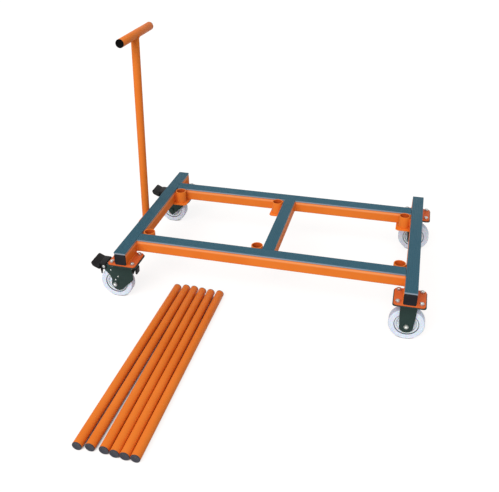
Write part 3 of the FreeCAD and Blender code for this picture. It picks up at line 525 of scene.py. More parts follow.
mouldColours = {  # colour, colour of the dust, how fine the grain is, how much dust
    "capPlastic": (paint(18, 18, 23), paint(60, 60, 68), 1500.0, 0.18),
    "pedalPlastic": (paint(18, 18, 19), paint(58, 59, 60), 1100.0, 0.18),
    "gripPlastic": (paint(6, 6, 6), paint(30, 30, 31), 1300.0, 0.15),
    "plugPlastic": (paint(54, 54, 62), paint(92, 92, 100), 1300.0, 0.4),
    "coreNylon": (paint(232, 238, 244), paint(176, 182, 192), 900.0, 0.2),
    "bushPlastic": (paint(120, 124, 134), paint(150, 154, 164), 900.0, 0.3)}


def makeMouldFinish(name, slot, roughness, **plain):
    material, tree, shader, place = startFinish(name, slot, **plain)
    colour, dustColour, grain, dust = mouldColours[name]
    made = useGroup(tree, mouldGroup, place, Colour=colour, Dust_Colour=dustColour, Grain=grain, Dust=dust)
    rough = mathIn(tree, "ADD", made["Roughness"], roughness)
    finishWith(tree, shader, made["Colour"], rough, made["Height"], depth=0.00010, strength=0.5)
    return material


stripLook = {"rubber": paint(52, 92, 108), "deep": paint(38, 78, 94), "dust": paint(86, 122, 134),
             "paleEdge": paint(140, 152, 164), "finePitch": 0.0011, "edgeTop": -0.0030, "edgeFoot": -0.0092,
             "stretch": 0.06, "wander": 0.0008}


def makeStripFinish(name, across):
    # teal rubber with fine ribs along the strip and a pale band low on its sides
    material, tree, shader, place = startFinish(name, "deck_rubber", Specular_IOR_Level=0.12)
    made = useGroup(tree, mouldGroup, place, Colour=stripLook["rubber"], Dust_Colour=stripLook["dust"],
                    Grain=1000.0, Dust=0.10)
    parts = partsIn(tree, place)
    wave = mathIn(tree, "SINE", mathIn(tree, "MULTIPLY", parts[across], math.tau / stripLook["finePitch"]))
    long = stripLook["stretch"]
    stretched = addNode(tree, "Mapping", Vector=place, Scale=(long, 1, 1) if across == "Y" else (1, long, 1))
    streak = noiseIn(tree, stretched.outputs[0], 260.0, 3, 0.6)
    tone = blendIn(tree, rangeIn(tree, streak, 0.45, 0.8, 0, 0.4), made["Colour"], stripLook["deep"])
    ripple = mathIn(tree, "MULTIPLY", noiseIn(tree, place, 300.0, 2, 0.5), stripLook["wander"])
    level = mathIn(tree, "ADD", parts["Z"], ripple)
    below = rangeIn(tree, level, stripLook["edgeTop"] + 0.0006, stripLook["edgeTop"] - 0.0006)
    above = rangeIn(tree, level, stripLook["edgeFoot"] - 0.0004, stripLook["edgeFoot"] + 0.0004)
    tone = blendIn(tree, mathIn(tree, "MULTIPLY", below, above), tone, stripLook["paleEdge"])
    height = mathIn(tree, "ADD", mathIn(tree, "MULTIPLY", wave, 0.5), made["Height"])
    rough = mathIn(tree, "ADD", made["Roughness"], 0.42)
    finishWith(tree, shader, tone, rough, height, depth=0.00016, strength=0.6)
    return material


def makeZincFinish():
    material, tree, shader, place = startFinish("zincPlate", "zinc_steel", Metallic=1.0)
    made = useGroup(tree, zincGroup, place, Colour=paint(196, 200, 200), Warm_Colour=paint(190, 186, 166),
                    Dark_Colour=paint(130, 134, 136))
    finishWith(tree, shader, made["Colour"], made["Roughness"], made["Height"], depth=0.00004, strength=0.5)
    return material


wheelLook = {"tread": paint(226, 233, 246), "shade": paint(204, 213, 233), "runningShade": paint(178, 186, 210),
             "ringLine": paint(66, 74, 86), "ringRadius": 0.0466, "ringHalf": 0.0012, "rimStart": 0.0672,
             "rimEnd": 0.0698}


def makeTreadFinish(name, axle):
    # milky cast urethane: cloudy, greyer toward the outer edge of its tread as painted shade, a dark line
    # where it grips the core
    material, tree, shader, place = startFinish(
        name, "wheel_tread_polyurethane", IOR=1.48, Transmission_Weight=0.04, Subsurface_Weight=0.2,
        Subsurface_Scale=0.004, Coat_Weight=0.15, Coat_Roughness=0.2)
    centred = addNode(tree, "Mapping", Vector=place, Location=tuple(-value for value in axle)).outputs[0]
    parts = partsIn(tree, centred)
    squares = [mathIn(tree, "POWER", parts[label], 2.0) for label in ("X", "Z")]
    radius = mathIn(tree, "SQRT", mathIn(tree, "ADD", *squares))
    cloud = noiseIn(tree, centred, 55.0, 4, 0.6)
    tone = blendIn(tree, rangeIn(tree, cloud, 0.4, 0.75, 0, 0.45), wheelLook["tread"], wheelLook["shade"])
    # toward its outer edge the tread greys: painted shade
    rim = rangeIn(tree, radius, wheelLook["rimStart"], wheelLook["rimEnd"], 0, 0.8)
    tone = blendIn(tree, rim, tone, wheelLook["runningShade"])
    offRing = mathIn(tree, "ABSOLUTE", mathIn(tree, "SUBTRACT", radius, wheelLook["ringRadius"]))
    ring = rangeIn(tree, offRing, wheelLook["ringHalf"], wheelLook["ringHalf"] * 2, 1, 0)
    tone = blendIn(tree, ring, tone, wheelLook["ringLine"])
    rough, grain = rangeIn(tree, cloud, 0.3, 0.7, 0.22, 0.36), noiseIn(tree, centred, 900.0, 2, 0.5)
    finishWith(tree, shader, tone, rough, grain, depth=0.00006, strength=0.5)
    return material


orangeCoat = makeCoatFinish("orangeCoat", "orange_powder_coat", coatWeight=0.08, specular=0.05)
beamCoat = makeCoatFinish("beamCoat", "orange_powder_coat", coatWeight=0.0, specular=0.02)
plateCoat = makeCoatFinish("plateCoat", "orange_powder_coat", coatWeight=0.08, specular=0.05)
boreShadeCoat = makeCoatFinish("boreShadeCoat", "orange_powder_coat", coatWeight=0.0, specular=0.05)
casterEnamel = makeCoatFinish("casterEnamel", "dark_green_steel", coatWeight=0.04, specular=0.14)
capPlastic = makeMouldFinish("capPlastic", "black_plastic", roughness=0.38, Specular_IOR_Level=0.16)
pedalPlastic = makeMouldFinish("pedalPlastic", "black_plastic", roughness=0.42, Specular_IOR_Level=0.17)
gripPlastic = makeMouldFinish("gripPlastic", "black_plastic", roughness=0.4, Specular_IOR_Level=0.04)
plugPlastic = makeMouldFinish("plugPlastic", "grey_plug_plastic", roughness=0.45, Specular_IOR_Level=0.25)
coreNylon = makeMouldFinish("coreNylon", "wheel_core_nylon", roughness=0.24, Subsurface_Weight=0.15,
                            Subsurface_Scale=0.003)
bushPlastic = makeMouldFinish("bushPlastic", "wheel_core_nylon", roughness=0.3)
stripRubberX = makeStripFinish("stripRubberX", "Y")
stripRubberY = makeStripFinish("stripRubberY", "X")
zincPlate = makeZincFinish()
slotFinish = {"orange_powder_coat": orangeCoat, "deck_rubber": stripRubberX, "black_plastic": pedalPlastic,
              "zinc_steel": zincPlate, "dark_green_steel": casterEnamel, "wheel_core_nylon": coreNylon,
              "grey_plug_plastic": plugPlastic}
for row in frame["record"]["subparts"]:
    finish = beamCoat if row["node"].endswith(("_beam", "_rail")) else slotFinish.get(row["material_slot"])
    if finish:
        for slot in frame["nodes"][row["node"]].material_slots:
            slot.material = finish
print("finishes made")

# ---- deck strips: ribbed rubber lying on the beams

deckStrip = {"grooves": 6, "grooveWide": 1.6 * mm, "grooveDeep": 0.9 * mm, "sideRound": 1.5 * mm,
             "lipRound": 0.35 * mm}


def makeDeckStrip(node, along):
    low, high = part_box(node)
    strip = boxBetween(camel(node), low, high)
    across = 1 - along
    middle, half = (low[across] + high[across]) / 2, (high[across] - low[across]) / 2
    sideways = Vector([float(axis == across) for axis in range(3)])
    grooves, wide = deckStrip["grooves"], deckStrip["grooveWide"]
    centres = [middle + half * (1 - 2 * (index + 1) / (grooves + 1)) for index in range(grooves)]
    editing(strip)
    for centre in centres:
        for side in (-1, 1):
            bpy.ops.mesh.select_all(action="SELECT")
            bpy.ops.mesh.bisect(plane_co=sideways * (centre + side * wide / 2), plane_no=sideways)
    pick(strip, "faces", lambda face: face.normal.z > 0.9 and any(
        abs(face.calc_center_median()[across] - centre) < wide / 2 for centre in centres))
    extrude(0, 0, -deckStrip["grooveDeep"])
    pick(strip, "edges", lambda edge: allAt(edge, 2, high.z) and all(
        abs(abs(vert.co[across] - middle) - half) < nearly for vert in edge.verts))
    bpy.ops.mesh.bevel(offset=deckStrip["sideRound"], segments=4)
    doneEditing()
    roundEdges(strip, deckStrip["lipRound"], 2, 50)
    smooth(strip, 40)
    standFor(strip, "frame", stripRubberX if along == 0 else stripRubberY, node)


for node, along in (("left_end_strip", 1), ("right_end_strip", 1), ("front_strip", 0), ("rear_strip", 0),
                    ("middle_strip", 1)):
    makeDeckStrip(node, along)
print("deck strips laid")

# ---- moulded caps in the open ends of the two end beams

endCap = {"flange": 3 * mm, "cornerRound": 7 * mm, "faceRound": 1.2 * mm, "panelInset": 3.2 * mm,
          "panelSlope": 0.8 * mm, "panelDip": 0.5 * mm, "stemWall": 2.7 * mm, "stemDeep": 16 * mm,
          "halfWide": 25 * mm}


def makeEndCap():
    # made facing -Y with its outer face at y = 0, then copied to the four beam ends
    half, flange = endCap["halfWide"], endCap["flange"]
    cap = boxBetween("capMaster", (-half, 0, -half), (half, flange, half))
    editing(cap, "EDGE")
    pick(cap, "edges", lambda edge: spanOf(edge, 1) > flange / 2)
    bpy.ops.mesh.bevel(offset=endCap["cornerRound"], segments=6)
    pick(cap, "faces", lambda face: face.normal.y > 0.9)
    bpy.ops.mesh.inset(thickness=endCap["stemWall"])
    extrude(0, endCap["stemDeep"], 0)
    pick(cap, "edges", lambda edge: allAt(edge, 1, 0))
    bpy.ops.mesh.bevel(offset=endCap["faceRound"], segments=3)
    pick(cap, "faces", lambda face: face.normal.y < -0.999)
    bpy.ops.mesh.inset(thickness=endCap["panelInset"])
    bpy.ops.mesh.inset(thickness=endCap["panelSlope"])
    bpy.ops.transform.translate(value=(0, endCap["panelDip"], 0))
    doneEditing()
    return smooth(cap, 40)


capMaster = makeEndCap()
capLow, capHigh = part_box("beam_end_caps")
capLevel = (capLow.z + capHigh.z) / 2
caps = []
for x in (capLow.x + endCap["halfWide"], capHigh.x - endCap["halfWide"]):
    for y, turn in ((capLow.y, 0), (capHigh.y, math.pi)):
        place = Matrix.Translation((x, y, capLevel)) @ Matrix.Rotation(turn, 4, "Z")
        caps.append(copyTo(capMaster, "cap", place))
discard(capMaster)
standFor(gather("beamEndCaps", caps), "frame", capPlastic, "beam_end_caps")
print("end caps fitted")

# ---- round tubes: handle, stakes and sockets

roundTube = {"sides": 64, "radius": 16.85 * mm, "wall": 2.6 * mm, "rimRound": 0.5 * mm}


def makeTube(name, start, end, radius=roundTube["radius"], wall=roundTube["wall"], rim=roundTube["rimRound"],
             rimSteps=2):
    start, end = Vector(start), Vector(end)
    axis = end - start
    bpy.ops.mesh.primitive_cylinder_add(vertices=roundTube["sides"], radius=radius, depth=axis.length,
                                        end_fill_type="NOTHING")
    tube = freshPiece(name)
    addModifier(tube, "SOLIDIFY", thickness=wall, offset=-1, use_even_offset=True)
    roundEdges(tube, rim, rimSteps, 50)
    smooth(tube, 40)
    tube.data.transform(Matrix.Translation((start + end) / 2) @ turnTo(axis))
    return tube


tubePlug = {"sides": 48, "head": 3 * mm, "headRound": 1.3 * mm, "dishInset": 4.5 * mm,
            "dishSlope": 0.9 * mm, "dishDeep": 0.6 * mm, "stem": 18 * mm, "stemRadius": 14.05 * mm,
            "edge": 0.25 * mm, "rimBand": 0.6 * mm}


def makePlug():
    # made with its outer face at z = 0 and its stem along +Z
    radius, head = roundTube["radius"], tubePlug["head"]
    bpy.ops.mesh.primitive_cylinder_add(vertices=tubePlug["sides"], radius=radius, depth=head,
                                        location=(0, 0, head / 2))
    plug = freshPiece("plugMaster")
    editing(plug)
    pick(plug, "faces", lambda face: face.normal.z > 0.9)
    bpy.ops.mesh.inset(thickness=radius - tubePlug["stemRadius"])
    extrude(0, 0, tubePlug["stem"])
    pick(plug, "faces", lambda face: face.normal.z < -0.9)
    bpy.ops.mesh.inset(thickness=tubePlug["dishInset"])
    bpy.ops.mesh.inset(thickness=tubePlug["dishSlope"])
    bpy.ops.transform.translate(value=(0, 0, tubePlug["dishDeep"]))
    pick(plug, "edges", lambda edge: allAt(edge, 2, 0) and all(
        vert.co.xy.length > radius - nearly for vert in edge.verts))
    bpy.ops.mesh.bevel(offset=tubePlug["headRound"], segments=4)
    doneEditing()
    roundEdges(plug, tubePlug["edge"], 2, 40)
    return smooth(plug, 40)


def makePluggedTube(tubeName, plugsName, near, far):
    along = (far - near).normalized()
    tube = makeTube(tubeName, near + along * tubePlug["head"], far - along * tubePlug["head"])
    plugs = [copyTo(plugMaster, "plug", Matrix.Translation(place) @ turnTo(way))
             for place, way in ((near, along), (far, -along))]
    return tube, gather(plugsName, plugs)


def stakeEnds(number):
    # where a stake lies: each plug is one half of its node along the stake
    verts = [vert.co for vert in frame["nodes"][f"stake_{number}_plugs"].data.vertices]
    middle = sum(vert.y for vert in verts) / len(verts)
    found = []
    for side in (-1, 1):
        half = [vert for vert in verts if (vert.y - middle) * side > 0]
        face = max(abs(vert.y - middle) for vert in half)
        rim = [vert for vert in half if abs(vert.y - middle) > face - tubePlug["rimBand"]]
        low, high = (Vector([outermost(vert[axis] for vert in rim) for axis in range(3)])
                     for outermost in (min, max))
        found.append((low + high) / 2)
    return found


plugMaster = makePlug()
for number in range(1, 7):
    tube, plugs = makePluggedTube(f"stakeTube_{number}", f"stakePlugs_{number}", *stakeEnds(number))
    standFor(tube, f"stake_{number}", orangeCoat, f"stake_{number}_tube")
    standFor(plugs, f"stake_{number}", plugPlastic, f"stake_{number}_plugs")
print("stakes laid")

socketForm = {"wall": 4.15 * mm, "sleeveWall": 4 * mm, "rim": 0.9 * mm}
stakeSockets = [f"{end}_{place}_socket" for end in endSide for place in ("left", "middle", "right")]
for node in stakeSockets + ["handle_socket"]:
    low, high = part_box(node)
    middle, radius = (low + high) / 2, (high.x - low.x) / 2
    wall = socketForm["wall" if node in stakeSockets else "sleeveWall"]
    tube = makeTube(camel(node), (middle.x, middle.y, low.z), (middle.x, middle.y, high.z), radius, wall,
                    socketForm["rim"], 3)
    standFor(tube, "frame", orangeCoat, node)
    # the bore's inward faces take the darker orange, painted shade
    tube.data.materials.append(boreShadeCoat)
    for polygon in tube.data.polygons:
        outward = (polygon.center - middle) * Vector((1, 1, 0))
        if polygon.normal.dot(outward) < 0 and abs(polygon.normal.z) < 0.1:
            polygon.material_index = 1
print("sockets set")

# ---- turned and cut shapes that the casters are made of, all given in mm

pinhole = 0.05  # a turned shape is left this open on its axis


def loopOf(name, corners):
    # a closed outline of edges through the given corners
    bpy.ops.mesh.primitive_circle_add(vertices=len(corners), radius=1 * mm)
    loop = freshPiece(name)
    for vert, corner in zip(loop.data.vertices, corners):
        vert.co = corner
    return loop


def turned(name, outline, steps):
    # spins an outline of (radius, level) corners round Z
    ring = loopOf(name, [(radius * mm, 0, level * mm) for radius, level in outline])
    editing(ring, "EDGE")
    bpy.ops.mesh.select_all(action="SELECT")
    bpy.ops.mesh.spin(steps=steps, angle=math.tau, center=(0, 0, 0), axis=(0, 0, 1))
    doneEditing()
    faceOutwards(ring)
    return ring


def bothSides(upper):
    # an outline closed by its own mirror image below z = 0
    return upper + [(radius, -level) for radius, level in reversed(upper)]


def roundStart(outline, corner, radius):
    # how far back from a corner a rounding of that radius starts
    here = Vector(outline[corner])
    before, after = Vector(outline[corner - 1]) - here, Vector(outline[(corner + 1) % len(outline)]) - here
    return radius / math.tan(before.angle(after) / 2)


def cutSheet(name, outline, thick, rounds=()):
    # a flat sheet with an outline in X and Z, centred on y = 0; rounds are (corner, radius) pairs
    outline = [(x * mm, z * mm) for x, z in outline]
    sheet = loopOf(name, [(x, -thick * mm / 2, z) for x, z in outline])
    editing(sheet, "EDGE")
    bpy.ops.mesh.select_all(action="SELECT")
    bpy.ops.mesh.edge_face_add()
    extrude(0, thick * mm, 0)
    for corner, radius in rounds:
        x, z = outline[corner]
        pick(sheet, "edges", lambda edge: allAt(edge, 0, x) and allAt(edge, 2, z))
        bpy.ops.mesh.bevel(offset=roundStart(outline, corner, radius) * mm, segments=8, offset_type="OFFSET")
    doneEditing()
    faceOutwards(sheet)
    return sheet


def blockOf(name, low, high):
    return boxBetween(name, [value * mm for value in low], [value * mm for value in high])


def arcOf(centre, radius, start, end, steps):
    angles = [math.radians(start + (end - start) * step / steps) for step in range(steps + 1)]
    return [(centre[0] + radius * math.cos(angle), centre[1] + radius * math.sin(angle)) for angle in angles]


# ---- wheels: a cast tread on a spoked core that runs on two plain bushes

wheelForm = {"treadRadius": 70, "treadHalf": 19, "shoulder": 6, "coreRadius": 46, "seat": 0.05,
             "sideDip": 0.5, "collar": 3.8, "grooveStart": 4.6, "grooveEnd": 2.2, "partingHalf": 0.5,
             "partingDeep": 0.12, "rimHalf": 16, "rimInside": 40, "webHalf": 3.5, "webRound": 3,
             "hubRadius": 19, "hubHalf": 21, "bushRadius": 10, "bushBore": 6.05, "bushLong": 15}
wheelSpoke = {"count": 8, "thick": 4, "wide": 22, "edge": 1.1, "waist": 0.8, "rootInHub": 1.5,
              "tipInRim": 0.8}


def makeTread():
    form = wheelForm
    inside, outside, half = form["coreRadius"] + form["seat"], form["treadRadius"], form["treadHalf"]
    dip, flat = half - form["sideDip"], outside - form["shoulder"]
    collar, start, end = inside + form["collar"], flat - form["grooveStart"], flat - form["grooveEnd"]
    upper = [(inside, half - 1.2), (inside + 0.5, dip), (collar - 0.6, dip), (collar, half),
             (start, half), (start + 0.4, dip), (end - 0.4, dip), (end, half)]
    upper += arcOf((flat, half - form["shoulder"]), form["shoulder"], 90, 0, 7)
    upper += [(outside, form["partingHalf"]), (outside - form["partingDeep"], 0.2)]
    return smooth(turned("treadMaster", bothSides(upper), 128), 32)


def makeSpoke(inner, outer):
    # a rib across the web, slimmer between its two roots
    thick, wide = wheelSpoke["thick"] / 2, wheelSpoke["wide"] / 2
    spoke = blockOf("spoke", (inner, -thick, -wide), (outer, thick, wide))
    editing(spoke, "EDGE")
    pick(spoke, "edges", lambda edge: spanOf(edge, 0) > 10 * mm)
    bpy.ops.mesh.bevel(offset=wheelSpoke["edge"] * mm, segments=3)
    pick(spoke, "faces", lambda face: abs(face.normal.z) > 0.9)
    bpy.ops.mesh.subdivide(number_cuts=3)
    pick(spoke, "verts", lambda vert: abs(vert.co.z) > (wide - 2) * mm
         and (inner + 5) * mm < vert.co.x < (outer - 4) * mm)
    bpy.ops.transform.resize(value=(1, 1, wheelSpoke["waist"]))
    doneEditing()
    return spoke


def makeCore():
    form = wheelForm
    hub, rim, outside, inside = form["hubHalf"], form["rimHalf"], form["coreRadius"], form["rimInside"]
    bore, hubRadius, bend = form["bushRadius"] + form["seat"], form["hubRadius"], form["webRound"]
    level = form["webHalf"] + bend
    upper = [(bore, hub - 0.4), (bore + 0.4, hub), (hubRadius - 2.6, hub), (hubRadius - 2, hub - 0.5),
             (hubRadius, level)] + arcOf((hubRadius + bend, level), bend, 180, 270, 4)
    upper += arcOf((inside - bend, level), bend, 270, 360, 4)
    upper += [(inside, rim - 1), (inside + 1, rim), (outside - 0.8, rim), (outside, rim - 0.8)]
    core = turned("coreMaster", bothSides(upper), 96)
    spoke = makeSpoke(hubRadius - wheelSpoke["rootInHub"], inside + wheelSpoke["tipInRim"])
    spokes = [copyTo(spoke, "spoke", Matrix.Rotation(math.tau * turn / wheelSpoke["count"], 4, "Z"))
              for turn in range(wheelSpoke["count"])]
    discard(spoke)
    return smooth(gather("coreMaster", [core] + spokes), 35)


def makeBushes():
    form = wheelForm
    inner, outer, half, edge = form["bushBore"], form["bushRadius"], form["hubHalf"], 0.5
    back = half - form["bushLong"]
    upper = turned("bush", [(inner, half - edge), (inner + edge, half), (outer - edge, half),
                            (outer, half - edge), (outer, back), (inner, back)], 48)
    lower = copyTo(upper, "bush", Matrix.Rotation(math.pi, 4, "X"))
    return smooth(gather("bushMaster", [upper, lower]), 35)


def fitWheel(wheel):
    axle = middleOf(wheel + "_wheel_tread")
    lay = Matrix.Translation(axle) @ turnTo((0, 1, 0))
    name, body = camel(wheel), wheel + "_wheel"
    standFor(copyTo(treadMaster, name + "Tread", lay), body, makeTreadFinish(name + "TreadCast", axle),
             wheel + "_wheel_tread")
    standFor(copyTo(coreMaster, name + "Core", lay), body, coreNylon, wheel + "_wheel_core")
    standFor(copyTo(bushMaster, name + "Bushes", lay), body, bushPlastic, wheel + "_wheel_core")


treadMaster, coreMaster, bushMaster = makeTread(), makeCore(), makeBushes()
casters = [(end, kind) for kind in ("swivel", "rigid") for end in endSide]
for end, kind in casters:
    fitWheel(f"{end}_{kind}")
discard(treadMaster, coreMaster, bushMaster)
print("wheels fitted")

# ---- bolts, nuts and washers

boltThread = {"pitch": 1.5, "deep": 0.5}
plateBolt = {"shank": 10, "flats": 16, "head": 6.4, "nut": 8, "tail": 2, "grip": 11, "rowX": 44, "rowY": 40,
             "turn": 25}
axleSet = {"shank": 12, "flats": 17, "head": 7.5, "nut": 8, "dome": 7.8, "seat": 28, "washerRadius": 10,
           "washer": 1.6}
pedalPin = {"radius": 4, "half": 31.3, "headRadius": 6.5, "head": 2, "headRound": 1.2, "x": -91, "z": -28.3}
kingBolt = {"radius": 6, "headRadius": 10, "head": 3, "flats": 18, "nutTop": 26.1, "nut": 7, "tail": 2}


def makeHexagon(name, flats, level, thick, chamferTop=True, chamferFoot=False):
    # a hexagon with the turned chamfer of a real nut or bolt head, corners on the X axis
    corner = flats / math.sqrt(3)
    bpy.ops.mesh.primitive_cylinder_add(vertices=6, radius=corner * mm, depth=thick * mm,
                                        location=(0, 0, (level + thick / 2) * mm),
                                        rotation=(0, 0, math.radians(30)))
    hexagon = freshPiece(name)
    lost, outside, top = corner - flats / 2 + 0.3, corner + 0.2, level + thick
    drop = lost * 0.55
    outline = [(pinhole, top)]
    outline += [(corner - lost, top), (outside, top - drop - 0.1)] if chamferTop else [(outside, top)]
    outline += [(outside, level + drop + 0.1), (corner - lost, level)] if chamferFoot else [(outside, level)]
    cutFrom(hexagon, turned("turnedBlank", outline + [(pinhole, level)], 64), "INTERSECT")
    return hexagon


def makeThread(name, radius, low, high, chamfer=0.8):
    # the end of a bolt: rings of thread with a chamfered tip at the high end
    level, pitch = low, boltThread["pitch"]
    outline = [(pinhole, low), (radius, low)]
    while level + pitch < high - chamfer:
        outline += [(radius, level + pitch * 0.2), (radius - boltThread["deep"], level + pitch * 0.6),
                    (radius, level + pitch)]
        level += pitch
    return turned(name, outline + [(radius, high - chamfer), (radius - chamfer, high), (pinhole, high)], 40)


def makeWasher(name, radius, bore, level, thick):
    top = level + thick
    return turned(name, [(bore, level), (radius - 0.2, level), (radius, level + 0.2), (radius, top - 0.4),
                         (radius - 0.4, top), (bore, top)], 48)


def makePlateBolt():
    # made with the underside of the caster plate at zero and the nut at the top
    form = plateBolt
    head = makeHexagon("head", form["flats"], -form["head"], form["head"], False, True)
    nut = makeHexagon("nut", form["flats"], form["grip"], form["nut"])
    top = form["grip"] + form["nut"]
    tail = makeThread("tail", form["shank"] / 2, top - 0.5, top + form["tail"], 0.7)
    return head, gather("nutMaster", [nut, tail])


def makeAxleSet():
    # a cap nut on one end of the axle, a washer and a bolt head on the other
    form = axleSet
    seat, radius, dome = form["seat"], form["shank"] / 2, form["dome"]
    foot = seat + form["nut"]
    nut = makeHexagon("nut", form["flats"], seat, form["nut"], False)
    cap = turned("cap", [(pinhole, foot - 0.5), (dome, foot - 0.5)] + arcOf((0, foot), dome, 0, 89, 9), 48)
    shank = turned("shank", [(pinhole, -seat), (radius, -seat), (radius, seat + 1), (pinhole, seat + 1)], 40)
    outer = gather("axleOuter", [nut, cap, shank])
    under = -seat - form["washer"]
    head = makeHexagon("head", form["flats"], under - form["head"], form["head"], False, True)
    washer = makeWasher("washer", form["washerRadius"], radius, under, form["washer"])
    return outer, gather("axleInner", [head, washer])


def pinPlace(end):
    return casterPlace(end, -1) @ shiftBy(pedalPin["x"], 0, pedalPin["z"])


def makePin():
    form = pedalPin
    end, wide, soft = form["half"] + form["head"], form["headRadius"], form["headRound"]
    upper = [(pinhole, end), (wide * 0.55, end)] + arcOf((wide - soft, end - soft), soft, 80, 0, 3)
    return turned("pinMaster", bothSides(upper + [(wide, form["half"]), (form["radius"], form["half"])]), 40)


def makeKingBolt():
    # made with its head's upper face at zero and its nut below
    form = kingBolt
    radius, wide, under, nutTop = form["radius"], form["headRadius"], -form["head"], -form["nutTop"]
    head = turned("head", [(pinhole, 0), (wide - 0.5, 0), (wide, -0.5), (wide, under), (radius, under),
                           (radius, nutTop), (pinhole, nutTop)], 48)
    nut = makeHexagon("nut", form["flats"], nutTop - form["nut"], form["nut"], False, True)
    tail = makeThread("tail", radius, -nutTop, -nutTop + form["nut"] + form["tail"])
    tail.data.transform(Matrix.Rotation(math.pi, 4, "X"))
    return gather("kingMaster", [head, nut, tail])


boltHead, nutMaster = makePlateBolt()
heads, nuts = [], []
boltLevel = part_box("caster_plate_bolts")[0].z / mm + plateBolt["head"]
for side in (-1, 1):
    for end in endSide:
        for shiftX in (-plateBolt["rowX"], plateBolt["rowX"]):
            for shiftY in (-plateBolt["rowY"], plateBolt["rowY"]):
                turn = math.radians(chance.uniform(-plateBolt["turn"], plateBolt["turn"]))
                place = shiftBy(side * casterX + shiftX, endSide[end] * casterY + shiftY, boltLevel)
                place = place @ Matrix.Rotation(turn, 4, "Z")
                heads.append(copyTo(boltHead, "head", place))
                nuts.append(copyTo(nutMaster, "nut", place))
discard(boltHead, nutMaster)
for name, pieces, node in (("casterPlateBolts", heads, "caster_plate_bolts"),
                           ("casterPlateNuts", nuts, "caster_plate_nuts")):
    standFor(smooth(gather(name, pieces), 30), "frame", zincPlate, node, "caster_plate_bolts")

axleOuter, axleInner = makeAxleSet()
pinMaster, kingMaster = makePin(), makeKingBolt()
for end, kind in casters:
    wheel, outwards = f"{end}_{kind}", turnTo((0, endSide[end], 0))
    lay = Matrix.Translation(middleOf(wheel + "_wheel_tread")) @ outwards
    outer, body, node = [copyTo(axleOuter, "outer", lay)], "frame", "rigid_axles"
    if kind == "swivel":
        body, node = end + "_fork", wheel + "_axle_and_pin"
        outer.append(copyTo(pinMaster, "pin", pinPlace(end) @ outwards))
    standFor(smooth(gather(camel(wheel) + "AxleNut", outer), 30), body, zincPlate, node)
    head = copyTo(axleInner, camel(wheel) + "AxleHead", lay)
    standFor(smooth(head, 30), body, casterEnamel, node)
kings = [copyTo(kingMaster, "king", casterPlace(end, -1)) for end in endSide]
discard(axleOuter, axleInner, pinMaster, kingMaster)
standFor(smooth(gather("swivelKingBolts", kings), 30), "frame", zincPlate, "swivel_king_bolts")
print("bolts, nuts and axles fitted")

# ---- plates that carry the casters

mountPlate = {"long": 120, "wide": 110, "thick": 6}
casterPlate = {"long": 126.5, "wide": 113, "thick": 5, "corner": 12, "edge": 0.7}
ballRace = {"inner": 18, "outer": 36, "deep": 13, "flare": 3, "flareLevels": (-9, -6.4, -5.1)}


def makePlate(name, size, low, high):
    x, y = size["long"] / 2, size["wide"] / 2
    plate = blockOf(name, (-x, -y, low), (x, y, high))
    bevelEdges(plate, casterPlate["corner"] * mm, 8, lambda edge: spanOf(edge, 2) > 1 * mm)
    roundEdges(plate, casterPlate["edge"] * mm, 2, 40)
    return smooth(plate, 35)


def makeRace():
    inner, outer, deep = ballRace["inner"], ballRace["outer"], -ballRace["deep"]
    lip, (foot, middle, top) = outer + ballRace["flare"], ballRace["flareLevels"]
    seat = 1 - casterPlate["thick"]  # a little inside the plate
    return smooth(turned("raceMaster", [
        (inner, seat), (inner, deep + 1), (inner + 1, deep), (outer - 1.5, deep), (outer - 0.4, deep + 0.5),
        (outer, deep + 1.5), (outer, foot), (outer + 1.2, middle), (lip, top), (lip, seat)], 72), 35)


mountMaster = makePlate("mountMaster", mountPlate, 0, mountPlate["thick"])
plateMaster, raceMaster = makePlate("plateMaster", casterPlate, -casterPlate["thick"], 0), makeRace()
plates = [copyTo(mountMaster, "plate", casterPlace(end, side)) for side in (-1, 1) for end in endSide]
# the mount plates take the darker orange, painted shade
standFor(gather("casterMountPlates", plates), "frame", plateCoat, "caster_mount_plates")
for end in endSide:
    pieces = [copyTo(master, "part", casterPlace(end, -1)) for master in (plateMaster, raceMaster)]
    standFor(gather(end + "SwivelPlate", pieces), "frame", casterEnamel, end + "_swivel_plate")
discard(mountMaster, raceMaster)
print("caster plates bolted up")

# ---- rigid brackets: two straight pressed legs with a raised panel each

legForm = {"start": -5, "top": 33.5, "middle": 30.5, "foot": 27, "bend": 70, "axle": 110, "end": 143,
           "footRound": 26, "halfWide": 26.5, "halfGap": 23, "webUnder": 8.5, "panelMargin": 9,
           "panelProud": 1.5, "panelEdge": 1.3, "innerBend": 3, "edge": 0.6}


def legSheet(name, margin, half):
    # a leg's outline, as far inside it as margin says, with its two lower corners rounded
    form = legForm
    right = [(form["top"] - margin, form["start"] - margin), (form["middle"] - margin, -form["bend"]),
             (form["foot"] - margin, -form["axle"]), (form["foot"] - margin, -form["end"] + margin)]
    return cutSheet(name, right + [(-x, z) for x, z in reversed(right)], 2 * half,
                    [(corner, form["footRound"] - margin) for corner in (3, 4)])


def makeRoom(name, low, high, bend):
    # the block of air between two legs, with its upper long edges rounded
    room = blockOf(name, low, high)
    bevelEdges(room, bend * mm, 4, lambda edge: allAt(edge, 2, high[2] * mm) and spanOf(edge, 0) > 1 * mm)
    return room


def makeRigidLegs():
    form = legForm
    legs = legSheet("rigidLegs", 0, form["halfWide"])
    face, gap = form["halfWide"] + form["panelProud"], form["halfGap"]
    panel = legSheet("panel", form["panelMargin"], face)
    bevelEdges(panel, form["panelEdge"] * mm, 3, lambda edge: spanOf(edge, 1) < nearly and all(
        abs(abs(vert.co.y) - face * mm) < nearly for vert in edge.verts))
    cutFrom(legs, panel, "UNION")
    past = form["top"] + 6.5  # the room runs out past the legs' edges
    cutFrom(legs, makeRoom("room", (-past, -gap, -form["end"] - 5), (past, gap, -form["webUnder"]),
                           form["innerBend"]))
    roundEdges(legs, form["edge"] * mm, 2, 45)
    return smooth(legs, 35)


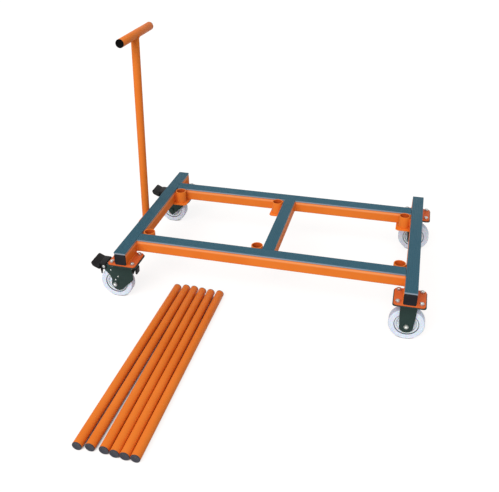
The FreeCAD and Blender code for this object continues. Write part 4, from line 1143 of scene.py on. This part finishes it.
rigidLegs = makeRigidLegs()
for end in endSide:
    pieces = [copyTo(master, "part", casterPlace(end, 1)) for master in (rigidLegs, plateMaster)]
    standFor(gather(end + "RigidBracket", pieces), "frame", casterEnamel, end + "_rigid_bracket")
discard(rigidLegs, plateMaster)
print("rigid brackets hung")

# ---- swivel forks: cheeks that sweep back to the axle under a pressed crown

forkForm = {"top": -19.3, "front": 30, "cheekFront": 35, "cheekLow": -80.3, "trail": -47, "foot": -143,
            "axle": -110, "earEnd": -100, "earUnder": -37.3, "halfWide": 26.5, "halfGap": 23,
            "webBack": -42.5, "outerBend": 4.5, "innerBend": 1.5, "bore": 6.1, "bossRadius": 15,
            "bossProud": 28, "edge": 0.6,
            "rounds": [(2, 21), (3, 21), (1, 12), (4, 12), (5, 12), (7, 8.9), (8, 8.9)]}
forkCrown = {"radius": 39, "top": -13.3, "under": -22.8}
innerCheek = {"top": -58, "front": 27, "middle": -86, "waist": 14, "foot": -50, "ahead": 60, "cutThick": 40}
forkRivets = {"radius": 3.4, "rise": 2.2, "sunk": 0.6,
              "spots": [(-63.3, -44.6), (-33.6, -73.1), (-46.3, -91.4)]}


def makeCheeks():
    form, under = forkForm, forkCrown["under"]
    trail, axle, wide, gap, low = (form[key] for key in ("trail", "axle", "halfWide", "halfGap", "foot"))
    outline = [(form["front"], form["top"]), (form["cheekFront"], form["cheekLow"]), (trail + 19, low),
               (trail - 5, low), (trail - 20, axle - 8), (trail - 16, axle + 22), (trail - 25, axle + 42),
               (form["earEnd"], form["earUnder"]), (form["earEnd"], form["top"])]
    cheeks = cutSheet("forkMaster", outline, 2 * wide, form["rounds"])
    # the tools that cut the cheeks run out past them behind, ahead and below
    back, ahead, below = form["earEnd"] - 10, form["cheekFront"] + 10, low - 17
    press = makeRoom("press", (back, -wide, below), (ahead, wide, form["top"]), form["outerBend"])
    cutFrom(cheeks, press, "INTERSECT")
    cutFrom(cheeks, makeRoom("room", (back, -gap, below), (ahead, gap, under), form["innerBend"]))
    cutFrom(cheeks, blockOf("slot", (back, -gap, under - 1), (form["webBack"], gap, 0)))
    # the inner cheek, on the +Y side, is cut back to a narrower outline
    inner, thick = innerCheek, innerCheek["cutThick"]
    narrow = cutSheet("narrow", [
        (inner["ahead"], inner["top"]), (inner["front"], inner["top"]), (inner["waist"], inner["middle"]),
        (inner["foot"], low - 1), (inner["ahead"], low - 1)], thick)
    narrow.data.transform(shiftBy(0, thick / 2 + 0.01, 0))
    cutFrom(cheeks, narrow)
    roundEdges(cheeks, form["edge"] * mm, 2, 45)
    return cheeks


def makeFork():
    # made with the plate's underside at zero and its outer cheek on the -Y side
    form = forkForm
    cheeks, bore = makeCheeks(), form["bore"]
    rim, top, under = forkCrown["radius"], forkCrown["top"], forkCrown["under"]
    crown = turned("crown", [
        (bore, under), (rim - 1, under), (rim, under + 1), (rim, top - 5), (rim - 1, top - 2),
        (rim - 3, top - 0.4), (rim - 5, top), (bore, top)], 72)
    start, radius, end = form["halfGap"] + 0.2, form["bossRadius"], form["bossProud"]
    boss = turned("boss", [
        (bore, start), (radius, start), (radius, end - 0.6), (radius - 0.6, end), (bore, end)], 48)
    bosses = [copyTo(boss, "boss", shiftBy(form["trail"], 0, form["axle"]) @ turnTo((0, side, 0)))
              for side in (-1, 1)]
    discard(boss)
    return smooth(gather("forkMaster", [cheeks, crown] + bosses), 35)


def makeRivets():
    form = forkRivets
    rise, radius, sunk = form["rise"], form["radius"], -form["sunk"]
    curve = [(radius * math.sin(angle), rise * math.cos(angle)) for angle in (0.35, 0.7, 1.05, 1.35, 1.57)]
    dome = turned("dome", [(0.02, rise)] + curve + [(radius, sunk), (0.02, sunk)], 24)
    rivets = [copyTo(dome, "rivet", shiftBy(x, -forkForm["halfWide"], z) @ turnTo((0, -1, 0)))
              for x, z in form["spots"]]
    discard(dome)
    return smooth(gather("rivetMaster", rivets), 50)


tongueForm = {"halfWide": 15, "edge": 1.3, "rounds": [(2, 4), (3, 2), (4, 2), (5, 6), (6, 6), (1, 8)],
              "outline": [(-18, -22.8), (30, -22.8), (50, -30.8), (49, -60), (42, -56), (42, -33.8),
                          (27, -25.8), (-18, -25.8)]}


def makeTongue():
    tongue = cutSheet("tongueMaster", tongueForm["outline"], 2 * tongueForm["halfWide"], tongueForm["rounds"])
    roundEdges(tongue, tongueForm["edge"] * mm, 3, 40)
    return smooth(tongue, 35)


def mirrored(piece, name, matrix):
    # a left-handed copy, turned the right way out again
    twin = copyTo(piece, name, matrix @ Matrix.Scale(-1, 4, (0, 1, 0)))
    twin.data.flip_normals()
    return twin


forkMaster, rivetMaster, tongueMaster = makeFork(), makeRivets(), makeTongue()
for end, copyOver in (("front", copyTo), ("rear", mirrored)):
    place, body = casterPlace(end, -1), end + "_fork"
    standFor(copyOver(forkMaster, end + "SwivelFork", place), body, casterEnamel, end + "_swivel_fork")
    standFor(copyOver(rivetMaster, end + "ForkRivets", place), body, zincPlate)
    tongue = copyOver(tongueMaster, end + "LockTongue", place)
    standFor(tongue, body, pedalPlastic, end + "_swivel_lock_tongue")
discard(forkMaster, rivetMaster, tongueMaster)
print("swivel forks hung")

# ---- brake pedals: a curved ribbed paddle, a hood over the fork's ears, cheeks with a spur, a brake finger

paddleForm = {"wide": 84, "round": 12, "edge": 2,
              "top": [(-53, 17.2), (-49, 15.6), (-43, 12.9), (-37, 9.9), (-31, 7.2), (-26, 5.6), (-21, 5.1),
                      (-15, 5.3)],
              "foot": [(-15, -9.2), (-22, -7.2), (-29, -4.4), (-37, -0.8), (-44, 3.2), (-50, 6.4)]}
paddleRib = {"count": 6, "halfLong": 29, "halfWide": 0.9, "rise": 0.9, "edge": 0.5, "start": 0.6, "end": 5.4}
hoodForm = {"halfWide": 31, "halfInside": 27.5, "edge": 1.6, "rounds": [(1, 4), (2, 5), (5, 1.5), (6, 1.5)],
            "outline": [(-22, 5.3), (-18, 13.5), (10, 13.5), (10, -10), (-4, -10), (-11, -38), (-15, -38),
                        (-18, -10)]}
fingerForm = {"wide": 34, "edge": 1, "rounds": [(2, 3), (3, 2), (4, 2)],
              "outline": [(-12, 12), (-20, 12), (-20, -20), (-16, -26), (-11, -26)]}


def makePaddle():
    form = paddleForm
    half, outer = form["wide"] / 2 * mm, form["top"][0][0]
    paddle = cutSheet("paddle", form["top"] + form["foot"], form["wide"])
    bevelEdges(paddle, form["round"] * mm, 8, lambda edge: spanOf(edge, 2) > 5 * mm and all(
        abs(abs(vert.co.y) - half) < nearly and vert.co.x < (outer + 3.4) * mm for vert in edge.verts))
    roundEdges(paddle, form["edge"] * mm, 3, 40)
    return paddle


def makeRibs():
    # the grip ribs, spread along the paddle's upper curve
    form, curve = paddleRib, paddleForm["top"]
    wide, long = form["halfWide"], form["halfLong"]
    rib = blockOf("rib", (-wide, -long, -1), (wide, long, form["rise"]))
    roundEdges(rib, form["edge"] * mm, 2, 40)
    ribs = []
    for index in range(form["count"]):
        along = form["start"] + (form["end"] - form["start"]) * index / (form["count"] - 1)
        (x1, z1), (x2, z2) = curve[int(along)], curve[int(along) + 1]
        share = along - int(along)
        place = shiftBy(x1 + (x2 - x1) * share, 0, z1 + (z2 - z1) * share)
        ribs.append(copyTo(rib, "rib", place @ Matrix.Rotation(-math.atan2(z2 - z1, x2 - x1), 4, "Y")))
    discard(rib)
    return ribs


def makeHood():
    inside = hoodForm["halfInside"]
    hood = cutSheet("hood", hoodForm["outline"], 2 * hoodForm["halfWide"], hoodForm["rounds"])
    roundEdges(hood, hoodForm["edge"] * mm, 3, 40)
    cutFrom(hood, blockOf("inside", (-13, -inside, -15), (16, inside, 10.5)))
    cutFrom(hood, blockOf("under", (-20, -inside, -44), (16, inside, -10)))
    return hood


def makeFinger():
    finger = cutSheet("finger", fingerForm["outline"], fingerForm["wide"], fingerForm["rounds"])
    roundEdges(finger, fingerForm["edge"] * mm, 2, 40)
    return finger


pedalMaster = smooth(gather("pedalMaster", [makePaddle()] + makeRibs() + [makeHood(), makeFinger()]), 35)
for end in endSide:
    pedal = copyTo(pedalMaster, end + "BrakePedal", pinPlace(end))
    standFor(pedal, end + "_pedal", pedalPlastic, end + "_swivel_brake_pedal")
discard(pedalMaster)
print("brake pedals hinged")

# ---- handle: a leaning pole welded into the saddle of its grip

handleForm = {"lean": 1.9, "reach": 860.5, "footDepth": 29.16, "sleeveMiddle": (-629.85, 0, -88),
              "gripLength": 306, "gripShift": 5, "poleShort": 0.5}


def makeHandle():
    form = handleForm
    seat, lean = Vector(form["sleeveMiddle"]) * mm, math.radians(form["lean"])
    up = Vector((math.sin(lean), 0, math.cos(lean)))
    top = seat + up * (form["reach"] - form["poleShort"]) * mm
    pole = makeTube("handlePole", seat - up * form["footDepth"] * mm, top)
    standFor(pole, "handle", orangeCoat, "handle_pole")
    centre = seat + up * form["reach"] * mm + Vector((0, form["gripShift"] * mm, 0))
    half = Vector((0, form["gripLength"] / 2 * mm, 0))
    grip, plugs = makePluggedTube("handleGrip", "handleGripPlugs", centre - half, centre + half)
    standFor(grip, "handle", orangeCoat, "handle_grip")
    standFor(plugs, "handle", gripPlastic, "handle_grip_plugs")
    return top, up


gripSeat, handleUp = makeHandle()
discard(plugMaster)
print("handle stood in its sleeve")

# ---- weld seams, each a row of overlapping ripples

weldForm = {"pitch": 2.5, "across": 2.7, "along": 2.3, "ripple": 0.18}
beamWeld = {"endX": 554.6, "railY": (230, 280), "crossX": 25, "crossY": 229.6, "low": -56, "high": -13,
            "under": -59.6, "railInset": 4, "crossInset": 3, "plateX": (555, 605), "plateY": (292, 396),
            "plateUnder": -59.4, "plateSize": 0.9}
socketWeld = {"spread": 16, "low": -57, "high": -14, "proud": 1.6, "size": 1.25, "ringLevel": -60.2,
              "ringInset": 1.0, "ringSize": 0.8, "sleeveSize": 0.7, "sleeveTop": -64.4, "topProud": 0.6,
              "footProud": 0.4}
saddleWeld = {"proud": 0.5 * mm, "thick": 2.3 * mm, "ripple": 0.16, "ripples": 44, "sag": 0.97}


def makeSeam(start, end, size=1.0):
    start, end = Vector(start) * mm, Vector(end) * mm
    length = (end - start).length
    count = max(2, round(length / (weldForm["pitch"] * mm)))
    across = weldForm["across"] * size
    bpy.ops.mesh.primitive_uv_sphere_add(segments=8, ring_count=5, radius=1 * mm,
                                         scale=(across, across, weldForm["along"]))
    seam = freshPiece("seam")
    addModifier(seam, "ARRAY", count=count, use_relative_offset=False, use_constant_offset=True,
                constant_offset_displace=(0, 0, length / (count - 1)))
    for vert in seam.data.vertices:
        # the welder's hand wanders in two slow waves
        wander = 0.16 * math.sin(vert.co.z / mm * 0.9 + start.x * 90) + 0.1 * math.sin(vert.co.z / mm * 2.3)
        vert.co.x += wander * mm
        vert.co.y -= wander * 0.7 * mm
    seam.data.transform(Matrix.Translation(start) @ turnTo(end - start))
    return seam


def uprightSeam(x, y, form, size=1.0):
    return makeSeam((x, y, form["low"]), (x, y, form["high"]), size)


def rippledRing(name, radius, thick, sides, ripples, ripple, sag=0):
    # a ring whose thickness ripples along its way; with sag it follows a tube that crosses it
    bpy.ops.mesh.primitive_torus_add(major_radius=radius, minor_radius=thick, major_segments=sides,
                                     minor_segments=8)
    ring = freshPiece(name)
    for vert in ring.data.vertices:
        turn = math.atan2(vert.co.y, vert.co.x)
        middle = Vector((math.cos(turn), math.sin(turn), 0)) * radius
        vert.co = middle + (vert.co - middle) * (1 + ripple * math.sin(turn * ripples))
        vert.co.z -= radius * abs(math.sin(turn)) * sag
    return ring


def makeRingSeam(x, y, level, radius, size):
    ring = rippledRing("ring", radius * mm, weldForm["across"] * size * mm, 144,
                       round(math.tau * radius / weldForm["pitch"]), weldForm["ripple"])
    ring.data.transform(shiftBy(x, y, level))
    return ring


def makeSaddleSeam():
    # where the pole meets the underside of the grip
    form = saddleWeld
    seam = rippledRing("handleWeld", roundTube["radius"] + form["proud"], form["thick"], 176, form["ripples"],
                       form["ripple"], form["sag"])
    seam.data.transform(Matrix.Translation(gripSeat) @ turnTo(handleUp))
    return seam


def makeFrameSeams():
    form = beamWeld
    under = form["under"]
    seams = []
    for side in (-1, 1):
        face = side * form["endX"]
        for front in (-1, 1):
            seams += [uprightSeam(face, front * y, form) for y in form["railY"]]
            near, far = form["railY"][0] + form["railInset"], form["railY"][1] - form["railInset"]
            seams.append(makeSeam((face, front * near, under), (face, front * far, under)))
            for x in form["plateX"]:
                start, end = ((side * x, front * y, form["plateUnder"]) for y in form["plateY"])
                seams.append(makeSeam(start, end, form["plateSize"]))
    half, short = form["crossX"], form["crossX"] - form["crossInset"]
    for y in (-form["crossY"], form["crossY"]):
        seams += [uprightSeam(x, y, form) for x in (-half, half)]
        seams.append(makeSeam((-short, y, under), (short, y, under)))
    return seams


def makeSocketSeams():
    # beside each socket, two upright seams on the beam and two on the rail that it touches, and a ring below
    form, seams = socketWeld, []
    for node in stakeSockets:
        low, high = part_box(node)
        middle, reach = (low + high) / 2 / mm, (high.x - low.x) / 2 / mm + form["proud"]
        toBeam, toRail = (180 if "left" in node else 0), (-90 if "front" in node else 90)
        for heading in (toBeam, toRail):
            for turn in (-form["spread"], form["spread"]):
                angle = math.radians(heading + turn)
                x, y = middle.x + reach * math.cos(angle), middle.y + reach * math.sin(angle)
                seams.append(uprightSeam(x, y, form, form["size"]))
        seams.append(makeRingSeam(middle.x, middle.y, form["ringLevel"], reach - form["ringInset"],
                                  form["ringSize"]))
    low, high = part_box("handle_socket")
    middle, reach = (low + high) / 2 / mm, (high.x - low.x) / 2 / mm
    for level, proud in ((form["sleeveTop"], form["topProud"]), (low.z / mm + 0.4, form["footProud"])):
        seams.append(makeRingSeam(middle.x, middle.y, level, reach + proud, form["sleeveSize"]))
    return seams


standFor(smooth(gather("frameWelds", makeFrameSeams()), 60), "frame", orangeCoat)
standFor(smooth(gather("socketWelds", makeSocketSeams()), 60), "frame", orangeCoat)
standFor(smooth(makeSaddleSeam(), 60), "handle", orangeCoat)
print("welds laid")

# ---- base plates under the sockets

basePlate = {"edge": 0.6 * mm, "merge": 5e-6}


def makeBasePlates():
    # the node's own shape, its triangles joined into faces and its edges taken off
    piece = bpy.data.objects.new("socketBasePlates", frame["nodes"]["socket_base_plates"].data.copy())
    piece.data.name = piece.name
    bpy.context.scene.collection.objects.link(piece)
    editing(piece)
    bpy.ops.mesh.select_all(action="SELECT")
    bpy.ops.mesh.remove_doubles(threshold=basePlate["merge"])
    bpy.ops.mesh.dissolve_limited(angle_limit=math.radians(1))
    doneEditing()
    roundEdges(piece, basePlate["edge"], 2, 40)
    return smooth(piece, 35)


standFor(makeBasePlates(), "frame", orangeCoat, "socket_base_plates")
print("base plates dressed")
